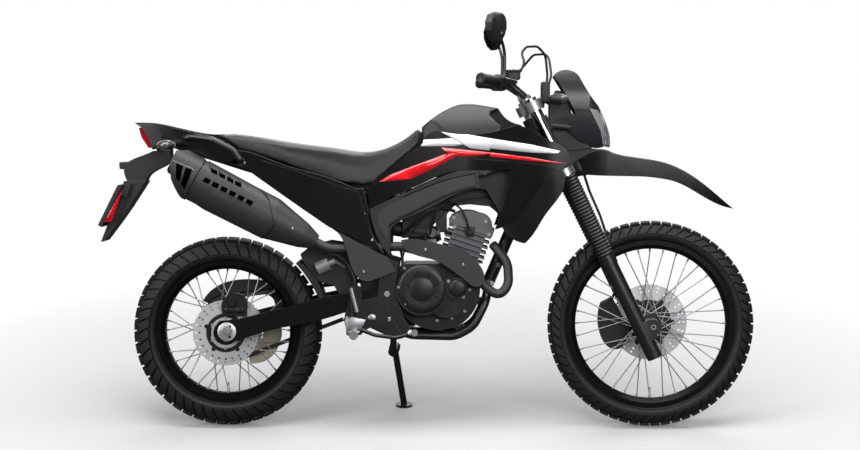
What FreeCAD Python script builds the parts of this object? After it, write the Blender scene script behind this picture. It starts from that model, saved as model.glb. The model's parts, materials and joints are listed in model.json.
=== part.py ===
import FreeCAD, Part
import math
import os
import re
import Sketcher
from FreeCAD import Placement, Rotation, Vector

# A dual sport motorcycle, parked on its side stand. It is drawn upright, with x forward from the rear
# axle, y to the rider's left and z up from the ground, and each sub-part is then leaned to the left.
# Outlines are traced from a side view, so their points are picture coordinates, u to the right and v down.

rear_axle_px = (227.5, 331.0)
front_axle_px = (650.4, 323.5)
seat_px_height = 150.0
horizon_px = (470.0, 125.0)

sizes = {
    # Whole machine
    "wheelbase": 1428, "seat_height": 931.2, "view_distance": 6700, "lean_angle": 10, "origin_forward": 674, "origin_left": 202,
    "cut_over": 20, "fit": 0.3, "running_gap": 5,
    # Tyres and rims
    "front_radius": 347.7, "front_crown": 45, "front_bead_radius": 270, "front_rim_width": 50,
    "front_rim_inner": 253, "rear_radius": 320, "rear_crown": 60, "rear_bead_radius": 228,
    "rear_rim_width": 68, "rear_rim_inner": 211, "rim_flange": 12, "rim_lip": 3.5, "rim_wall": 3,
    "spoke_radius": 1.9, "spoke_count": 36,
    # Hubs, axles, discs
    "front_hub_radius": 34, "front_hub_width": 64, "front_barrel_radius": 22, "hub_flange": 7,
    "axle_radius": 8.5, "axle_bore": 5, "axle_head_radius": 13, "axle_head": 9,
    "rear_hub_radius": 56, "rear_hub_width": 96, "rear_barrel_radius": 40,
    "front_disc_radius": 128, "front_disc_band": 33, "front_disc_side": 48, "front_carrier_radius": 74,
    "rear_disc_radius": 110, "rear_disc_band": 30, "rear_disc_side": 72, "rear_carrier_radius": 62,
    "disc_thickness": 4, "disc_hole": 3.4,
    # Steering head and fork, measured along and across the steering axis
    "rake_angle": 26, "axle_lead": 39, "clamp_offset": 25, "leg_side": 105,
    "stanchion_radius": 20.5, "lower_leg_radius": 26, "bellows_radius": 33, "bellows_rib": 3.6,
    "leg_foot": -98, "bellows_bottom": 281, "bellows_gap": 2, "bellows_pitch": 11,
    "lower_clamp_height": 577, "clamp_thickness": 34, "head_gap": 15, "stanchion_end": 10,
    "stem_radius": 15, "head_tube_radius": 27, "head_tube_length": 174,
    # Handlebar
    "bar_radius": 11, "bar_wall": 2, "bar_half": 408, "grip_radius": 16.5, "grip_length": 120,
    # Drive
    "sprocket_side": 74, "sprocket_thickness": 5.5, "rear_sprocket_radius": 108.7, "sprocket_teeth": 43,
    "tooth_height": 4, "front_sprocket_radius": 33.2,
    "chain_width": 17, "chain_height": 15, "chain_slot": 9,
    # Swingarm
    "arm_side": 90, "arm_thickness": 26,
    # Frame
    "frame_tube": 14, "spine_tube": 21, "rail_tube": 11,
    "engine_half": 85, "clutch_depth": 46, "cylinder_half": 64, "cylinder_long": 74, "fin_count": 7,
    # Body panels
    "panel": 3.5, "tank_half": 128, "seat_half": 128, "tail_half": 88, "fender_half": 68, "cowl_half": 98,
    "lens_half": 62,
    "rail_side": 74, "pipe_side": 112, "plate_half": 80, "peg_reach": 215, "stand_radius": 11, "cable_radius": 4,
    # Exhaust
    "pipe_radius": 15.5, "silencer_tall": 72, "silencer_wide": 56, "silencer_side": 172, "silencer_front_side": 141,
    "vent_long": 13, "vent_wide": 3,
    # Side stand
    "stand_pivot_x": 560, "stand_pivot_y": 118, "stand_pivot_z": 250, "foot_x": 590, "foot_y": 208,
}

document = FreeCAD.newDocument("Motorcycle")
sheet = document.addObject("Spreadsheet::Sheet", "Sizes")
for row, (alias, value) in enumerate(sizes.items(), 1):
    sheet.set(f"A{row}", alias)
    sheet.set(f"B{row}", str(value))
    sheet.setAlias(f"B{row}", alias)
document.recompute()

subparts = {}
photo_scale = sheet.wheelbase / (front_axle_px[0] - rear_axle_px[0])
photo_rise = (sheet.seat_height - sheet.rear_radius) / (rear_axle_px[1] - seat_px_height)
origin = Vector(0, 0, 0)
along_x, along_y, along_z = Vector(1, 0, 0), Vector(0, 1, 0), Vector(0, 0, 1)

lean = Rotation(along_x, -sheet.lean_angle)
tyre_drop = sheet.rear_crown * (1 - math.cos(math.radians(sheet.lean_angle)))
parked = Placement(Vector(-sheet.origin_forward, -sheet.origin_left, tyre_drop), lean)

# The steering frame has its origin on the steering axis, beside the front axle: x ahead, z up along the axis.
rake = Rotation(along_y, -sheet.rake_angle)
axle_ahead = sheet.axle_lead + sheet.clamp_offset
steering = Placement(Vector(sheet.wheelbase, 0, sheet.front_radius) - rake.multVec(along_x * axle_ahead), rake)


def bound(text):
    return re.sub(r"[A-Za-z_]\w*", lambda word: "Sizes." + word[0] if word[0] in sizes else word[0], text)


def worked(text):
    return float(sheet.evalExpression(bound(text)))


def new(kind, name, **values):
    thing = document.addObject(kind, name)
    for key, value in values.items():
        if isinstance(value, str):
            thing.setExpression(key, bound(value))
        else:
            setattr(thing, key, value)
    return thing


def spot(u, v, y=0.0):
    depth = 1 + y / sheet.view_distance
    along = horizon_px[0] + (u - horizon_px[0]) * depth - rear_axle_px[0]
    down = horizon_px[1] + (v - horizon_px[1]) * depth - rear_axle_px[1]
    return Vector(along * photo_scale, y, sheet.rear_radius - down * photo_rise)


def point(u, v, y=0.0):
    place = spot(u, v, y)
    return Vector(place.x, place.z, 0)


def finish(label, thing, placement=Placement()):
    thing.Label = label
    thing.Placement = parked * placement * thing.Placement
    subparts[label] = thing
    return thing


def together(label, things, placement=Placement()):
    return finish(label, new("Part::Compound", label + "_set", Links=things), placement)


def fused(name, things):
    return new("Part::MultiFuse", name, Shapes=things)


def cut(name, base, tool):
    return new("Part::Cut", name, Base=base, Tool=tool)


def common(name, base, tool):
    return new("Part::Common", name, Base=base, Tool=tool)


def mirrored(thing):
    return new("Part::Mirroring", thing.Name + "_left", Source=thing, Normal=along_y)


def rod(name, start, end, radius, inner=None):
    length = (end - start).Length
    placement = Placement(start, Rotation(along_z, end - start))
    outer = new("Part::Cylinder", name, Radius=radius, Height=length, Placement=placement)
    if inner is None:
        return outer
    hole = new("Part::Cylinder", name + "_bore", Radius=inner, Height=length, Placement=placement)
    return cut(name + "_tube", outer, hole)


def cross_rod(name, x, z, near, far, radius, inner=None):
    return rod(name, Vector(x, near, z), Vector(x, far, z), radius, inner)


def box(name, low, high):
    size = high - low
    return new("Part::Box", name, Length=size.x, Width=size.y, Height=size.z, Placement=Placement(low, Rotation()))


def bent_path(points, bend):
    edges = []
    start = points[0]
    for before, corner, after in zip(points, points[1:], points[2:]):
        way_in = (before - corner).normalize()
        way_out = (after - corner).normalize()
        half = way_in.getAngle(way_out) / 2
        room = min((before - corner).Length, (after - corner).Length) * bend_share
        radius = min(bend, room * math.tan(half))
        back = radius / math.tan(half)
        middle = corner + (way_in + way_out).normalize() * (radius / math.sin(half) - radius)
        first, last = corner + way_in * back, corner + way_out * back
        edges.append(Part.LineSegment(start, first).toShape())
        edges.append(Part.Arc(first, middle, last).toShape())
        start = last
    edges.append(Part.LineSegment(start, points[-1]).toShape())
    return Part.Wire(edges)


bend_share = 0.48


def bent_tube(name, points, radius, bend):
    path = new("Part::Feature", name + "_path", Shape=bent_path(points, bend))
    ring = new("Part::Circle", name + "_ring", Radius=radius)
    ring.Placement = Placement(points[0], Rotation(along_z, points[1] - points[0]))
    edges = [f"Edge{number}" for number in range(1, len(path.Shape.Edges) + 1)]
    return new("Part::Sweep", name, Sections=[ring], Spine=(path, edges), Solid=True, Frenet=False)


def run_edges(runs):
    # Each run is a straight line or a smooth curve that starts where the one before it ends.
    geometry = []
    last = runs[-1][-1]
    for run in runs:
        stops = [last] + run
        if len(stops) == 2:
            geometry.append(Part.LineSegment(*stops))
        else:
            curve = Part.BSplineCurve()
            curve.interpolate(stops)
            geometry.append(curve)
        last = run[-1]
    return geometry


def picture_runs(runs, y=0.0):
    return [[point(u, v, y) for u, v in run] for run in runs]


def origin_plane(body, role):
    return next(thing for thing in body.Origin.OriginFeatures if thing.Role == role)


def drawn(body, name, role, runs, offset=0.0):
    sketch = body.newObject("Sketcher::SketchObject", name)
    sketch.AttachmentSupport = [(origin_plane(body, role), "")]
    sketch.MapMode = "FlatFace"
    sketch.AttachmentOffset = Placement(Vector(0, 0, offset), Rotation())
    sketch.addGeometry(run_edges(runs), False)
    return sketch


def new_body(name):
    return document.addObject("PartDesign::Body", name)


def side_pad(name, runs, width, offset=0.0, y=0.0):
    # A side outline given its width to both sides of a plane that lies at y.
    body = new_body(name)
    profile = drawn(body, name + "_side", "XZ_Plane", picture_runs(runs, y or offset), -offset)
    pad = body.newObject("PartDesign::Pad", name + "_pad")
    pad.Profile = (profile, [""])
    pad.Midplane = True
    pad.setExpression("Length", bound(width))
    return body


def trim(body, name, role, runs):
    # Keeps what lies inside an outline seen from above or from the front.
    reach = 3 * sheet.wheelbase
    frame = [[Vector(a * reach, b * reach, 0)] for a, b in ((-1, -1), (1, -1), (1, 1), (-1, 1))]
    profile = drawn(body, name, role, frame)
    profile.addGeometry(run_edges(runs), False)
    pocket = body.newObject("PartDesign::Pocket", name + "_cut")
    pocket.Profile = (profile, [""])
    pocket.Type = "ThroughAll"
    pocket.Midplane = True
    return pocket


def hollow(body, name, role, runs, offset=0.0, length=None):
    profile = drawn(body, name, role, runs, offset)
    pocket = body.newObject("PartDesign::Pocket", name + "_cut")
    pocket.Profile = (profile, [""])
    pocket.Midplane = True
    if length is None:
        pocket.Type = "ThroughAll"
    else:
        pocket.setExpression("Length", bound(length))
    return pocket


def both_sides(half_outline):
    # An outline seen from above: pairs of a place along the machine and a half width, and their mirror image.
    right = [Vector(along, -half, 0) for along, half in half_outline]
    left = [Vector(along, half, 0) for along, half in reversed(half_outline)]
    return [right[1:], [left[0]], left[1:], [right[0]]]


def upright_sides(half_outline):
    # The same seen from the front: pairs of a height and a half width.
    return [[Vector(place.y, place.x, 0) for place in run] for run in both_sides(half_outline)]


def turned(name, pairs, arcs=()):
    # A profile of radius and side, spun about the sideways axis. Its sizes are bound to the sheet.
    body = new_body(name)
    sketch = body.newObject("Sketcher::SketchObject", name + "_profile")
    sketch.AttachmentSupport = [(origin_plane(body, "XY_Plane"), "")]
    sketch.MapMode = "FlatFace"
    corners = [Vector(worked(radius), worked(side), 0) for radius, side in pairs]
    count = len(corners)
    bows = dict(arcs)
    for index in range(count):
        start, end = corners[index], corners[(index + 1) % count]
        if index in bows:
            radius, side = bows[index]
            sketch.addGeometry(Part.Arc(start, Vector(worked(radius), worked(side), 0), end), False)
        else:
            sketch.addGeometry(Part.LineSegment(start, end), False)
    if not bows:
        for index, (radius, side) in enumerate(pairs):
            after = (index + 1) % count
            sketch.addConstraint(Sketcher.Constraint("Coincident", index, 2, after, 1))
            for kind, text, value in (("DistanceX", radius, corners[index].x), ("DistanceY", side, corners[index].y)):
                number = sketch.addConstraint(Sketcher.Constraint(kind, -1, 1, index, 1, value))
                sketch.setExpression(f"Constraints[{number}]", bound(text))
    spin = body.newObject("PartDesign::Revolution", name + "_spin")
    spin.Profile = (sketch, [""])
    spin.ReferenceAxis = (sketch, ["V_Axis"])
    spin.Angle = 360
    return body


def drilled(body, name, ring_radius, hole_radius, count):
    # A ring of like holes through a turned piece.
    sketch = body.newObject("Sketcher::SketchObject", name)
    sketch.AttachmentSupport = [(origin_plane(body, "XZ_Plane"), "")]
    sketch.MapMode = "FlatFace"
    sketch.addGeometry(Part.Circle(Vector(worked(ring_radius), 0, 0), along_z, worked(hole_radius)), False)
    pocket = body.newObject("PartDesign::Pocket", name + "_cut")
    pocket.Profile = (sketch, [""])
    pocket.Type = "ThroughAll"
    pocket.Midplane = True
    document.recompute()
    pattern = body.newObject("PartDesign::PolarPattern", name + "_ring")
    pattern.Originals = [pocket]
    pattern.Axis = (origin_plane(body, "Y_Axis"), [""])
    pattern.Angle = 360
    pattern.Occurrences = count
    body.Tip = pattern
    return pattern


# Wheels

def wheel_point(end):
    if end == "front":
        return Placement(Vector(sheet.wheelbase, 0, sheet.front_radius), Rotation())
    return Placement(Vector(0, 0, sheet.rear_radius), Rotation())


def tyre(end):
    # Beads between the rim's flanges, round flanks and a round crown.
    r, c, b, w = f"{end}_radius", f"{end}_crown", f"{end}_bead_radius", f"{end}_rim_width"
    seat = f"{b} + fit"
    edge = f"({w} / 2 - rim_lip - fit)"
    neck = f"({b} + rim_flange)"
    shoulder = f"({r} - {c})"
    flank = (f"{neck} * 0.55 + {shoulder} * 0.45", f"{edge} * 0.3 + {c} * 0.7")
    pairs = [(seat, f"-{edge}"), (neck, f"-{edge}"), (shoulder, f"-{c}"), (shoulder, c), (neck, edge), (seat, edge)]
    bows = [(1, (flank[0], f"-({flank[1]})")), (2, (r, "0")), (3, flank)]
    body = turned(f"{end}_tyre_body", pairs, bows)
    finish(f"{end}_tyre", body, wheel_point(end))


def rim(end):
    b, w, inner = f"{end}_bead_radius", f"{end}_rim_width", f"{end}_rim_inner"
    top = f"{b} + rim_flange"
    side = f"{w} / 2"
    well = f"{inner} + rim_wall"
    half = [(top, side), (top, f"{side} - rim_lip"), (b, f"{side} - rim_lip"), (b, f"{side} - rim_lip - rim_flange"),
            (well, f"{side} - rim_lip - rim_flange * 1.4")]
    under = [(f"{b} - rim_wall", side), (inner, f"{side} - rim_lip - rim_flange")]
    lower = [(radius, f"-({across})") for radius, across in half]
    below = [(radius, f"-({across})") for radius, across in under]
    pairs = half + list(reversed(lower)) + below + list(reversed(under))
    finish(f"{end}_rim", turned(f"{end}_rim_body", pairs), wheel_point(end))


def spokes(end):
    # Half of the spokes lean each way from each flange. Side steps let those that cross pass each other.
    hub_edge = sheet.get(f"{end}_hub_radius") + sheet.spoke_radius
    rim_edge = sheet.get(f"{end}_rim_inner") - sheet.fit * 2
    side = (sheet.get(f"{end}_hub_width") - sheet.hub_flange) / 2
    step = sheet.spoke_radius * 1.15
    count = int(sheet.spoke_count)
    rods = []
    for number in range(count):
        hand = 1 if number % 2 else -1
        cross = 1 if number % 4 < 2 else -1
        at_rim = 2 * math.pi * number / count
        at_hub = at_rim + cross * math.radians(spoke_cross_degrees)
        hub_side, rim_side = hand * (side + cross * step), hand * step * (1.6 + cross)
        start = Vector(hub_edge * math.cos(at_hub), hub_side, hub_edge * math.sin(at_hub))
        stop = Vector(rim_edge * math.cos(at_rim), rim_side, rim_edge * math.sin(at_rim))
        rods.append(rod(f"{end}_spoke_{number}", start, stop, "spoke_radius"))
    together(f"{end}_spokes", rods, wheel_point(end))


spoke_cross_degrees = 50


def hub(end):
    r, barrel, w = f"{end}_hub_radius", f"{end}_barrel_radius", f"{end}_hub_width / 2"
    bore = "axle_radius + fit"
    half = [(bore, w), (r, w), (r, f"{w} - hub_flange"), (barrel, f"{w} - hub_flange * 2")]
    lower = [(radius, f"-({across})") for radius, across in reversed(half)]
    finish(f"{end}_hub", turned(f"{end}_hub_body", half + lower), wheel_point(end))


def disc(end, hand):
    # A drilled ring on a carrier that reaches in to the hub.
    r, band, carrier = f"{end}_disc_radius", f"{end}_disc_band", f"{end}_carrier_radius"
    at = f"{end}_disc_side"
    inner, outer = f"{hand} * ({at} - disc_thickness / 2)", f"{hand} * ({at} + disc_thickness / 2)"
    face = f"{hand} * ({end}_hub_width / 2 + fit)"
    bore = "axle_radius + fit"
    barrel = f"{end}_barrel_radius"
    body = turned(f"{end}_disc_body", [(barrel, inner), (r, inner), (r, outer), (bore, outer), (bore, face), (barrel, face)])
    drilled(body, f"{end}_disc_outer_holes", f"{r} - {band} * 0.3", "disc_hole", disc_hole_count)
    drilled(body, f"{end}_disc_inner_holes", f"{r} - {band} * 0.72", "disc_hole", disc_hole_count)
    finish(f"{end}_disc", body, wheel_point(end))


disc_hole_count = 24
for wheel_end in ("front", "rear"):
    tyre(wheel_end)
    rim(wheel_end)
    spokes(wheel_end)
    hub(wheel_end)
disc("front", 1)
disc("rear", -1)


def rear_sprocket():
    tip = "rear_sprocket_radius + tooth_height - fit * 2"
    low, high = "sprocket_side - sprocket_thickness / 2", "sprocket_side + sprocket_thickness / 2"
    face = "rear_hub_width / 2 + fit"
    bore, barrel = "axle_radius + fit", "rear_barrel_radius"
    body = turned("rear_sprocket_body", [(bore, high), (tip, high), (tip, low), (barrel, low), (barrel, face), (bore, face)])
    drilled(body, "sprocket_gaps", tip, "tooth_height * 1.1", int(sheet.sprocket_teeth))
    finish("rear_sprocket", body, wheel_point("rear"))


rear_sprocket()


# Axles, each with a head and a nut

def front_axle():
    half = sheet.leg_side - sheet.lower_leg_radius
    outer = sheet.leg_side + sheet.lower_leg_radius
    bolt = cross_rod("front_axle_bolt", 0, 0, -outer, outer, "axle_radius", "axle_bore")
    sleeves = []
    for hand in (-1, 1):
        near = sheet.front_hub_width / 2 + sheet.fit
        if hand > 0:
            near = sheet.front_disc_side + sheet.disc_thickness / 2 + sheet.fit
        sleeves.append(cross_rod(f"front_spacer_{hand + 1}", 0, 0, hand * near, hand * (half - sheet.fit), "axle_head_radius"))
    hole = cross_rod("front_axle_hollow", 0, 0, -outer, outer, "axle_bore")
    finish("front_axle", cut("front_axle_cut", fused("front_axle_fuse", [bolt] + sleeves), hole), wheel_point("front"))


front_axle()


def fork_lowers():
    # Each leg has a lug ahead of it that holds the axle.
    legs = []
    for hand in (-1, 1):
        y = hand * sheet.leg_side
        low = Vector(sheet.clamp_offset, y, sheet.leg_foot)
        high = Vector(sheet.clamp_offset, y, sheet.bellows_bottom)
        leg = rod(f"leg_{hand + 1}", low, high, "lower_leg_radius")
        collar = rod(f"leg_collar_{hand + 1}", high - Vector(0, 0, sheet.clamp_thickness), high, "lower_leg_radius + rim_wall")
        room = sheet.lower_leg_radius
        lug = box(f"lug_{hand + 1}", Vector(sheet.clamp_offset, y - room * 0.9, -room * 1.5), Vector(axle_ahead, y + room * 0.9, room * 1.1))
        boss = cross_rod(f"boss_{hand + 1}", axle_ahead, 0, y - room * 0.9, y + room * 0.9, "lower_leg_radius")
        bore = cross_rod(f"axle_hole_{hand + 1}", axle_ahead, 0, y - 2 * room, y + 2 * room, "axle_radius + fit")
        legs.append(cut(f"leg_cut_{hand + 1}", fused(f"leg_fuse_{hand + 1}", [leg, collar, lug, boss]), bore))
    together("fork_lowers", legs, steering)


fork_lowers()


def fork_bellows():
    # Ribbed rubber sleeves between the lower legs and the lower clamp, round the bright tubes.
    low, high = sheet.bellows_bottom + sheet.fit, sheet.lower_clamp_height - sheet.bellows_gap
    count = int((high - low) / sheet.bellows_pitch)
    pitch = (high - low) / count
    inside = sheet.stanchion_radius + sheet.fit
    corners = [Vector(inside, 0, low)]
    for number in range(count):
        taper = sheet.bellows_rib * (1 - number / count)
        corners.append(Vector(sheet.bellows_radius - sheet.bellows_rib - taper, 0, low + number * pitch))
        corners.append(Vector(sheet.bellows_radius - taper, 0, low + (number + 0.5) * pitch))
    corners += [Vector(sheet.bellows_radius - sheet.bellows_rib, 0, high), Vector(inside, 0, high)]
    face = Part.Face(Part.makePolygon(corners + corners[:1]))
    sleeve = face.revolve(origin, along_z, 360)
    sleeves = []
    for hand in (-1, 1):
        piece = new("Part::Feature", f"bellows_{hand + 1}", Shape=sleeve)
        piece.Placement = Placement(Vector(sheet.clamp_offset, hand * sheet.leg_side, 0), Rotation())
        sleeves.append(piece)
    together("fork_bellows", sleeves, steering)


fork_bellows()


head_low = sheet.lower_clamp_height + sheet.clamp_thickness + sheet.head_gap
head_high = head_low + sheet.head_tube_length
upper_clamp = head_high + sheet.head_gap
fork_top = upper_clamp + sheet.clamp_thickness + sheet.stanchion_end


def fork_tubes_and_clamps():
    tubes, holes = [], []
    for hand in (-1, 1):
        low = Vector(sheet.clamp_offset, hand * sheet.leg_side, sheet.bellows_bottom + sheet.fit)
        high = Vector(low.x, low.y, fork_top)
        tubes.append(rod(f"stanchion_{hand + 1}", low, high, "stanchion_radius"))
        holes.append(rod(f"clamp_bore_{hand + 1}", low, high, "stanchion_radius + fit"))
    together("fork_stanchions", tubes, steering)
    plates = []
    for name, height in (("lower", sheet.lower_clamp_height), ("upper", upper_clamp)):
        wide = sheet.stanchion_radius + sheet.rim_flange
        across = box(f"{name}_bridge", Vector(-sheet.stem_radius * 0.4, -sheet.leg_side, height),
                     Vector(sheet.clamp_offset + sheet.stem_radius, sheet.leg_side, height + sheet.clamp_thickness))
        plates.append(across)
        plates.append(rod(f"{name}_hub", along_z * height, along_z * (height + sheet.clamp_thickness), "stem_radius * 2"))
        for hand in (-1, 1):
            low = Vector(sheet.clamp_offset, hand * sheet.leg_side, height)
            plates.append(rod(f"{name}_eye_{hand + 1}", low, low + along_z * sheet.clamp_thickness, wide))
    stem_low = Vector(0, 0, sheet.lower_clamp_height)
    plates.append(rod("stem", stem_low, along_z * (upper_clamp + sheet.clamp_thickness * 1.3), "stem_radius"))
    for hand in (-1, 1):
        foot = Vector(bar_ahead, hand * riser_side, upper_clamp + sheet.clamp_thickness / 2)
        plates.append(rod(f"riser_{hand + 1}", foot, Vector(bar_ahead, foot.y, bar_height), "bar_radius * 1.9"))
        plates.append(cross_rod(f"bar_clamp_{hand + 1}", bar_ahead, bar_height, foot.y - riser_half, foot.y + riser_half, "bar_radius * 1.8"))
    holes.append(cross_rod("bar_seat", bar_ahead, bar_height, -2 * riser_side, 2 * riser_side, "bar_radius + fit"))
    holes = new("Part::Compound", "clamp_holes", Links=holes)
    finish("triple_clamps", cut("clamp_cut", fused("clamp_fuse", plates), holes), steering)


bar_ahead = sheet.clamp_offset - sheet.bar_radius
bar_height = fork_top + sheet.bar_radius * 1.5
riser_side = sheet.stanchion_radius * 2
riser_half = sheet.bar_radius * 1.1
fork_tubes_and_clamps()


def steer_point(ahead, y, up):
    return steering.multVec(Vector(ahead, y, up))


def handlebar():
    # One bent tube, its ends drawn back and up to the grips.
    middle = steer_point(bar_ahead, 0, bar_height)
    end = spot(*bar_end_px, -sheet.bar_half)
    rise = spot(*bar_rise_px, -sheet.bar_half * bar_bend_share)
    half = [end, rise, Vector(middle.x, -riser_side * 1.9, middle.z)]
    path = half + [Vector(place.x, -place.y, place.z) for place in reversed(half)]
    finish("handlebar", bent_tube("bar", path, "bar_radius", sheet.bar_radius * 5))
    return path


bar_bend_share = 0.55
bar_end_px, bar_rise_px = (481, 78), (509, 83)
bar_path = handlebar()


def hand_controls():
    # Rubber grips, switch housings, levers on their perches, and the front brake's reservoir on the right.
    pieces = []
    for hand in (-1, 1):
        end = Vector(bar_path[0].x, hand * sheet.bar_half, bar_path[0].z)
        rise = Vector(bar_path[1].x, hand * abs(bar_path[1].y), bar_path[1].z)
        inward = (rise - end).normalize()
        side = f"{hand + 1}"
        stop = end + inward * sheet.grip_length
        grip = rod("grip_" + side, end - inward * sheet.rim_lip, stop, "grip_radius")
        flange = rod("grip_flange_" + side, stop - inward * sheet.rim_lip, stop, "grip_radius * 1.35")
        switch_end = stop + inward * sheet.grip_radius * 2.4
        switch = rod("switch_" + side, stop, switch_end, "grip_radius * 1.3")
        perch_end = switch_end + inward * sheet.grip_radius * 1.6
        perch = rod("perch_" + side, switch_end, perch_end, "bar_radius * 1.6")
        ahead = Vector(sheet.bar_radius * 3.4, 0, 0)
        arm = rod("perch_arm_" + side, perch_end - inward * sheet.grip_radius * 0.8, perch_end + ahead, "bar_radius * 0.8")
        tip = end + inward * sheet.grip_radius + ahead * 1.7
        lever = rod("lever_" + side, perch_end + ahead, tip, "bar_radius * 0.62")
        ball = new("Part::Sphere", "lever_tip_" + side, Radius="bar_radius * 0.85", Placement=Placement(tip, Rotation()))
        parts = [grip, flange, switch, perch, arm, lever, ball]
        if hand < 0:
            place = perch_end + Vector(0, -sheet.bar_radius, sheet.bar_radius)
            size = Vector(sheet.grip_radius * 2.8, sheet.grip_radius * 3, sheet.grip_radius * 2)
            parts.append(box("reservoir", place, place + size))
        hole = rod("grip_bore_" + side, end - inward * sheet.grip_radius, perch_end + inward * sheet.grip_length, "bar_radius + fit")
        pieces.append(cut("control_" + side, fused("control_fuse_" + side, parts), hole))
    together("hand_controls", pieces)


hand_controls()


def mirrors():
    # Rounded rectangles on thin stems that stand on the lever perches.
    heads = []
    for hand in (-1, 1):
        side = f"{hand + 1}"
        end = Vector(bar_path[0].x, hand * sheet.bar_half, bar_path[0].z)
        rise = Vector(bar_path[1].x, hand * abs(bar_path[1].y), bar_path[1].z)
        inward = (rise - end).normalize()
        foot = end + inward * (sheet.grip_length + sheet.grip_radius * 3.2) + along_z * (sheet.bar_radius * 1.6 + sheet.fit)
        knee = Vector(foot.x, foot.y, foot.z + mirror_rise_share * sheet.bar_half)
        centre = Vector(knee.x - sheet.grip_radius * 1.5, foot.y + hand * sheet.grip_radius * 2.2, knee.z + sheet.grip_radius * 4)
        stem = rod("mirror_stem_" + side, foot, knee, "bar_radius * 0.45")
        arm = rod("mirror_arm_" + side, knee, centre, "bar_radius * 0.45")
        head = box("mirror_head_" + side, Vector(-mirror_deep / 2, -mirror_wide / 2, -mirror_tall / 2),
                   Vector(mirror_deep / 2, mirror_wide / 2, mirror_tall / 2))
        round_head = new("Part::Fillet", "mirror_round_" + side, Base=head)
        document.recompute()
        round_head.Edges = [(number, mirror_deep * 0.45, mirror_deep * 0.45) for number in range(1, 13)]
        round_head.Placement = Placement(centre, Rotation(along_z, hand * mirror_turn))
        heads.append(fused("mirror_" + side, [stem, arm, round_head]))
    together("mirrors", heads)


mirror_rise_share = 0.22
mirror_turn = 26
mirror_deep, mirror_wide, mirror_tall = sheet.grip_radius * 1.7, sheet.grip_radius * 8.2, sheet.grip_radius * 6.2
mirrors()

# Front bodywork, carried by the fork

cowl_px = [[(556, 73), (560, 71), (578, 78)], [(590, 98), (597, 107)], [(602, 130), (603, 146)], [(590, 147), (572, 135), (557, 121)],
           [(561, 117.5)], [(568, 114), (574, 113.5)], [(566, 98), (553, 77)]]
cowl_inside_px = [[(545, 96)], [(562, 80), (574, 85), (586, 104)], [(588, 120), (588, 134)], [(578, 129), (569, 121)], [(545, 112)]]
cowl_plan_px, cowl_front_px = [(545, 70), (612, 150)], [(600, 150), (560, 65)]
lens_px = [[(597, 108), (602, 117), (608, 137), (608, 147)], [(603, 146)], [(600, 128), (589, 107)]]


def cowl():
    # A small screen above a lamp housing, hollow behind and open to the instrument.
    body = side_pad("cowl_body", cowl_px, "cowl_half * 2")
    wide, narrow = sheet.cowl_half, sheet.cowl_half * 0.62
    back, front = (point(*place).x for place in cowl_plan_px)
    trim(body, "cowl_plan", "XY_Plane", both_sides([(back, wide), (front - wide * 0.9, wide), (front, narrow * 0.7)]))
    low, high = (point(*place).y for place in cowl_front_px)
    outline = [(low, narrow * 0.55), ((low + high) / 2, wide), (high, narrow)]
    trim(body, "cowl_front", "YZ_Plane", upright_sides(outline))
    hollow(body, "cowl_inside", "XZ_Plane", picture_runs(cowl_inside_px), 0, "(cowl_half - panel * 3) * 1.6")
    room = side_pad("lens_room", lens_px, "(lens_half + fit) * 2")
    shell = cut("cowl_cut", body, room)
    stays, rooms = [], []
    for hand in (-1, 1):
        leg = steer_point(sheet.clamp_offset, hand * sheet.leg_side, cowl_stay_height)
        up = steering.Rotation.multVec(along_z)
        reach = Vector(point(*cowl_stay_px).x, hand * sheet.cowl_half * cowl_stay_share, point(*cowl_stay_px).y)
        stays.append(rod(f"cowl_ring_{hand + 1}", leg - up * sheet.clamp_offset, leg + up * sheet.clamp_offset, "stanchion_radius + rim_lip * 2"))
        stays.append(rod(f"cowl_stay_{hand + 1}", leg, reach, "bar_radius * 0.8"))
        rooms.append(rod(f"stay_room_{hand + 1}", leg - up * sheet.cowl_half, leg + up * sheet.cowl_half, "stanchion_radius + fit"))
    pieces = [shell, cut("cowl_stays", fused("cowl_stay_fuse", stays), new("Part::Compound", "stay_rooms", Links=rooms))]
    place = signal_place()
    end = abs(place.y) - signal_length / 2 - sheet.fit
    pieces.append(cross_rod("signal_bar", place.x, place.z, -end, end, "bar_radius * 0.8"))
    for hand in (-1, 1):
        start = Vector(place.x, hand * sheet.cowl_half * signal_stay_share, place.z)
        pieces.append(rod(f"signal_stay_{hand + 1}", start, Vector(point(*signal_stay_px).x, start.y, start.z), "bar_radius * 0.6"))
    finish("headlight_cowl", fused("cowl_fuse", pieces))
    finish("headlight_lens", side_pad("lens_body", lens_px, "lens_half * 2"))


cowl_stay_share = 0.78
cowl_stay_height = (head_low + head_high) / 2 + sheet.clamp_thickness * 1.5
cowl_stay_px = (569, 127)
signal_stay_share = 0.82
signal_stay_px = (573, 104)
signal_length = sheet.grip_radius * 4.2


def signal_place():
    return spot(*signal_px, -sheet.cowl_half * 1.75)


signal_px = (558, 99)


fender_px = [[(596, 149.5), (604, 149), (610, 151.5)], [(640, 157.5), (662, 161.5), (680, 169), (705, 186), (732, 208)],
             [(722, 205.5)], [(700, 194), (680, 183), (662, 178), (640, 175.5), (587, 174)], [(575, 176)], [(569, 164)], [(588, 152)]]
fender_ends_px, fender_neck_px = [(585, 170), (733, 208)], (600, 163)


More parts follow.
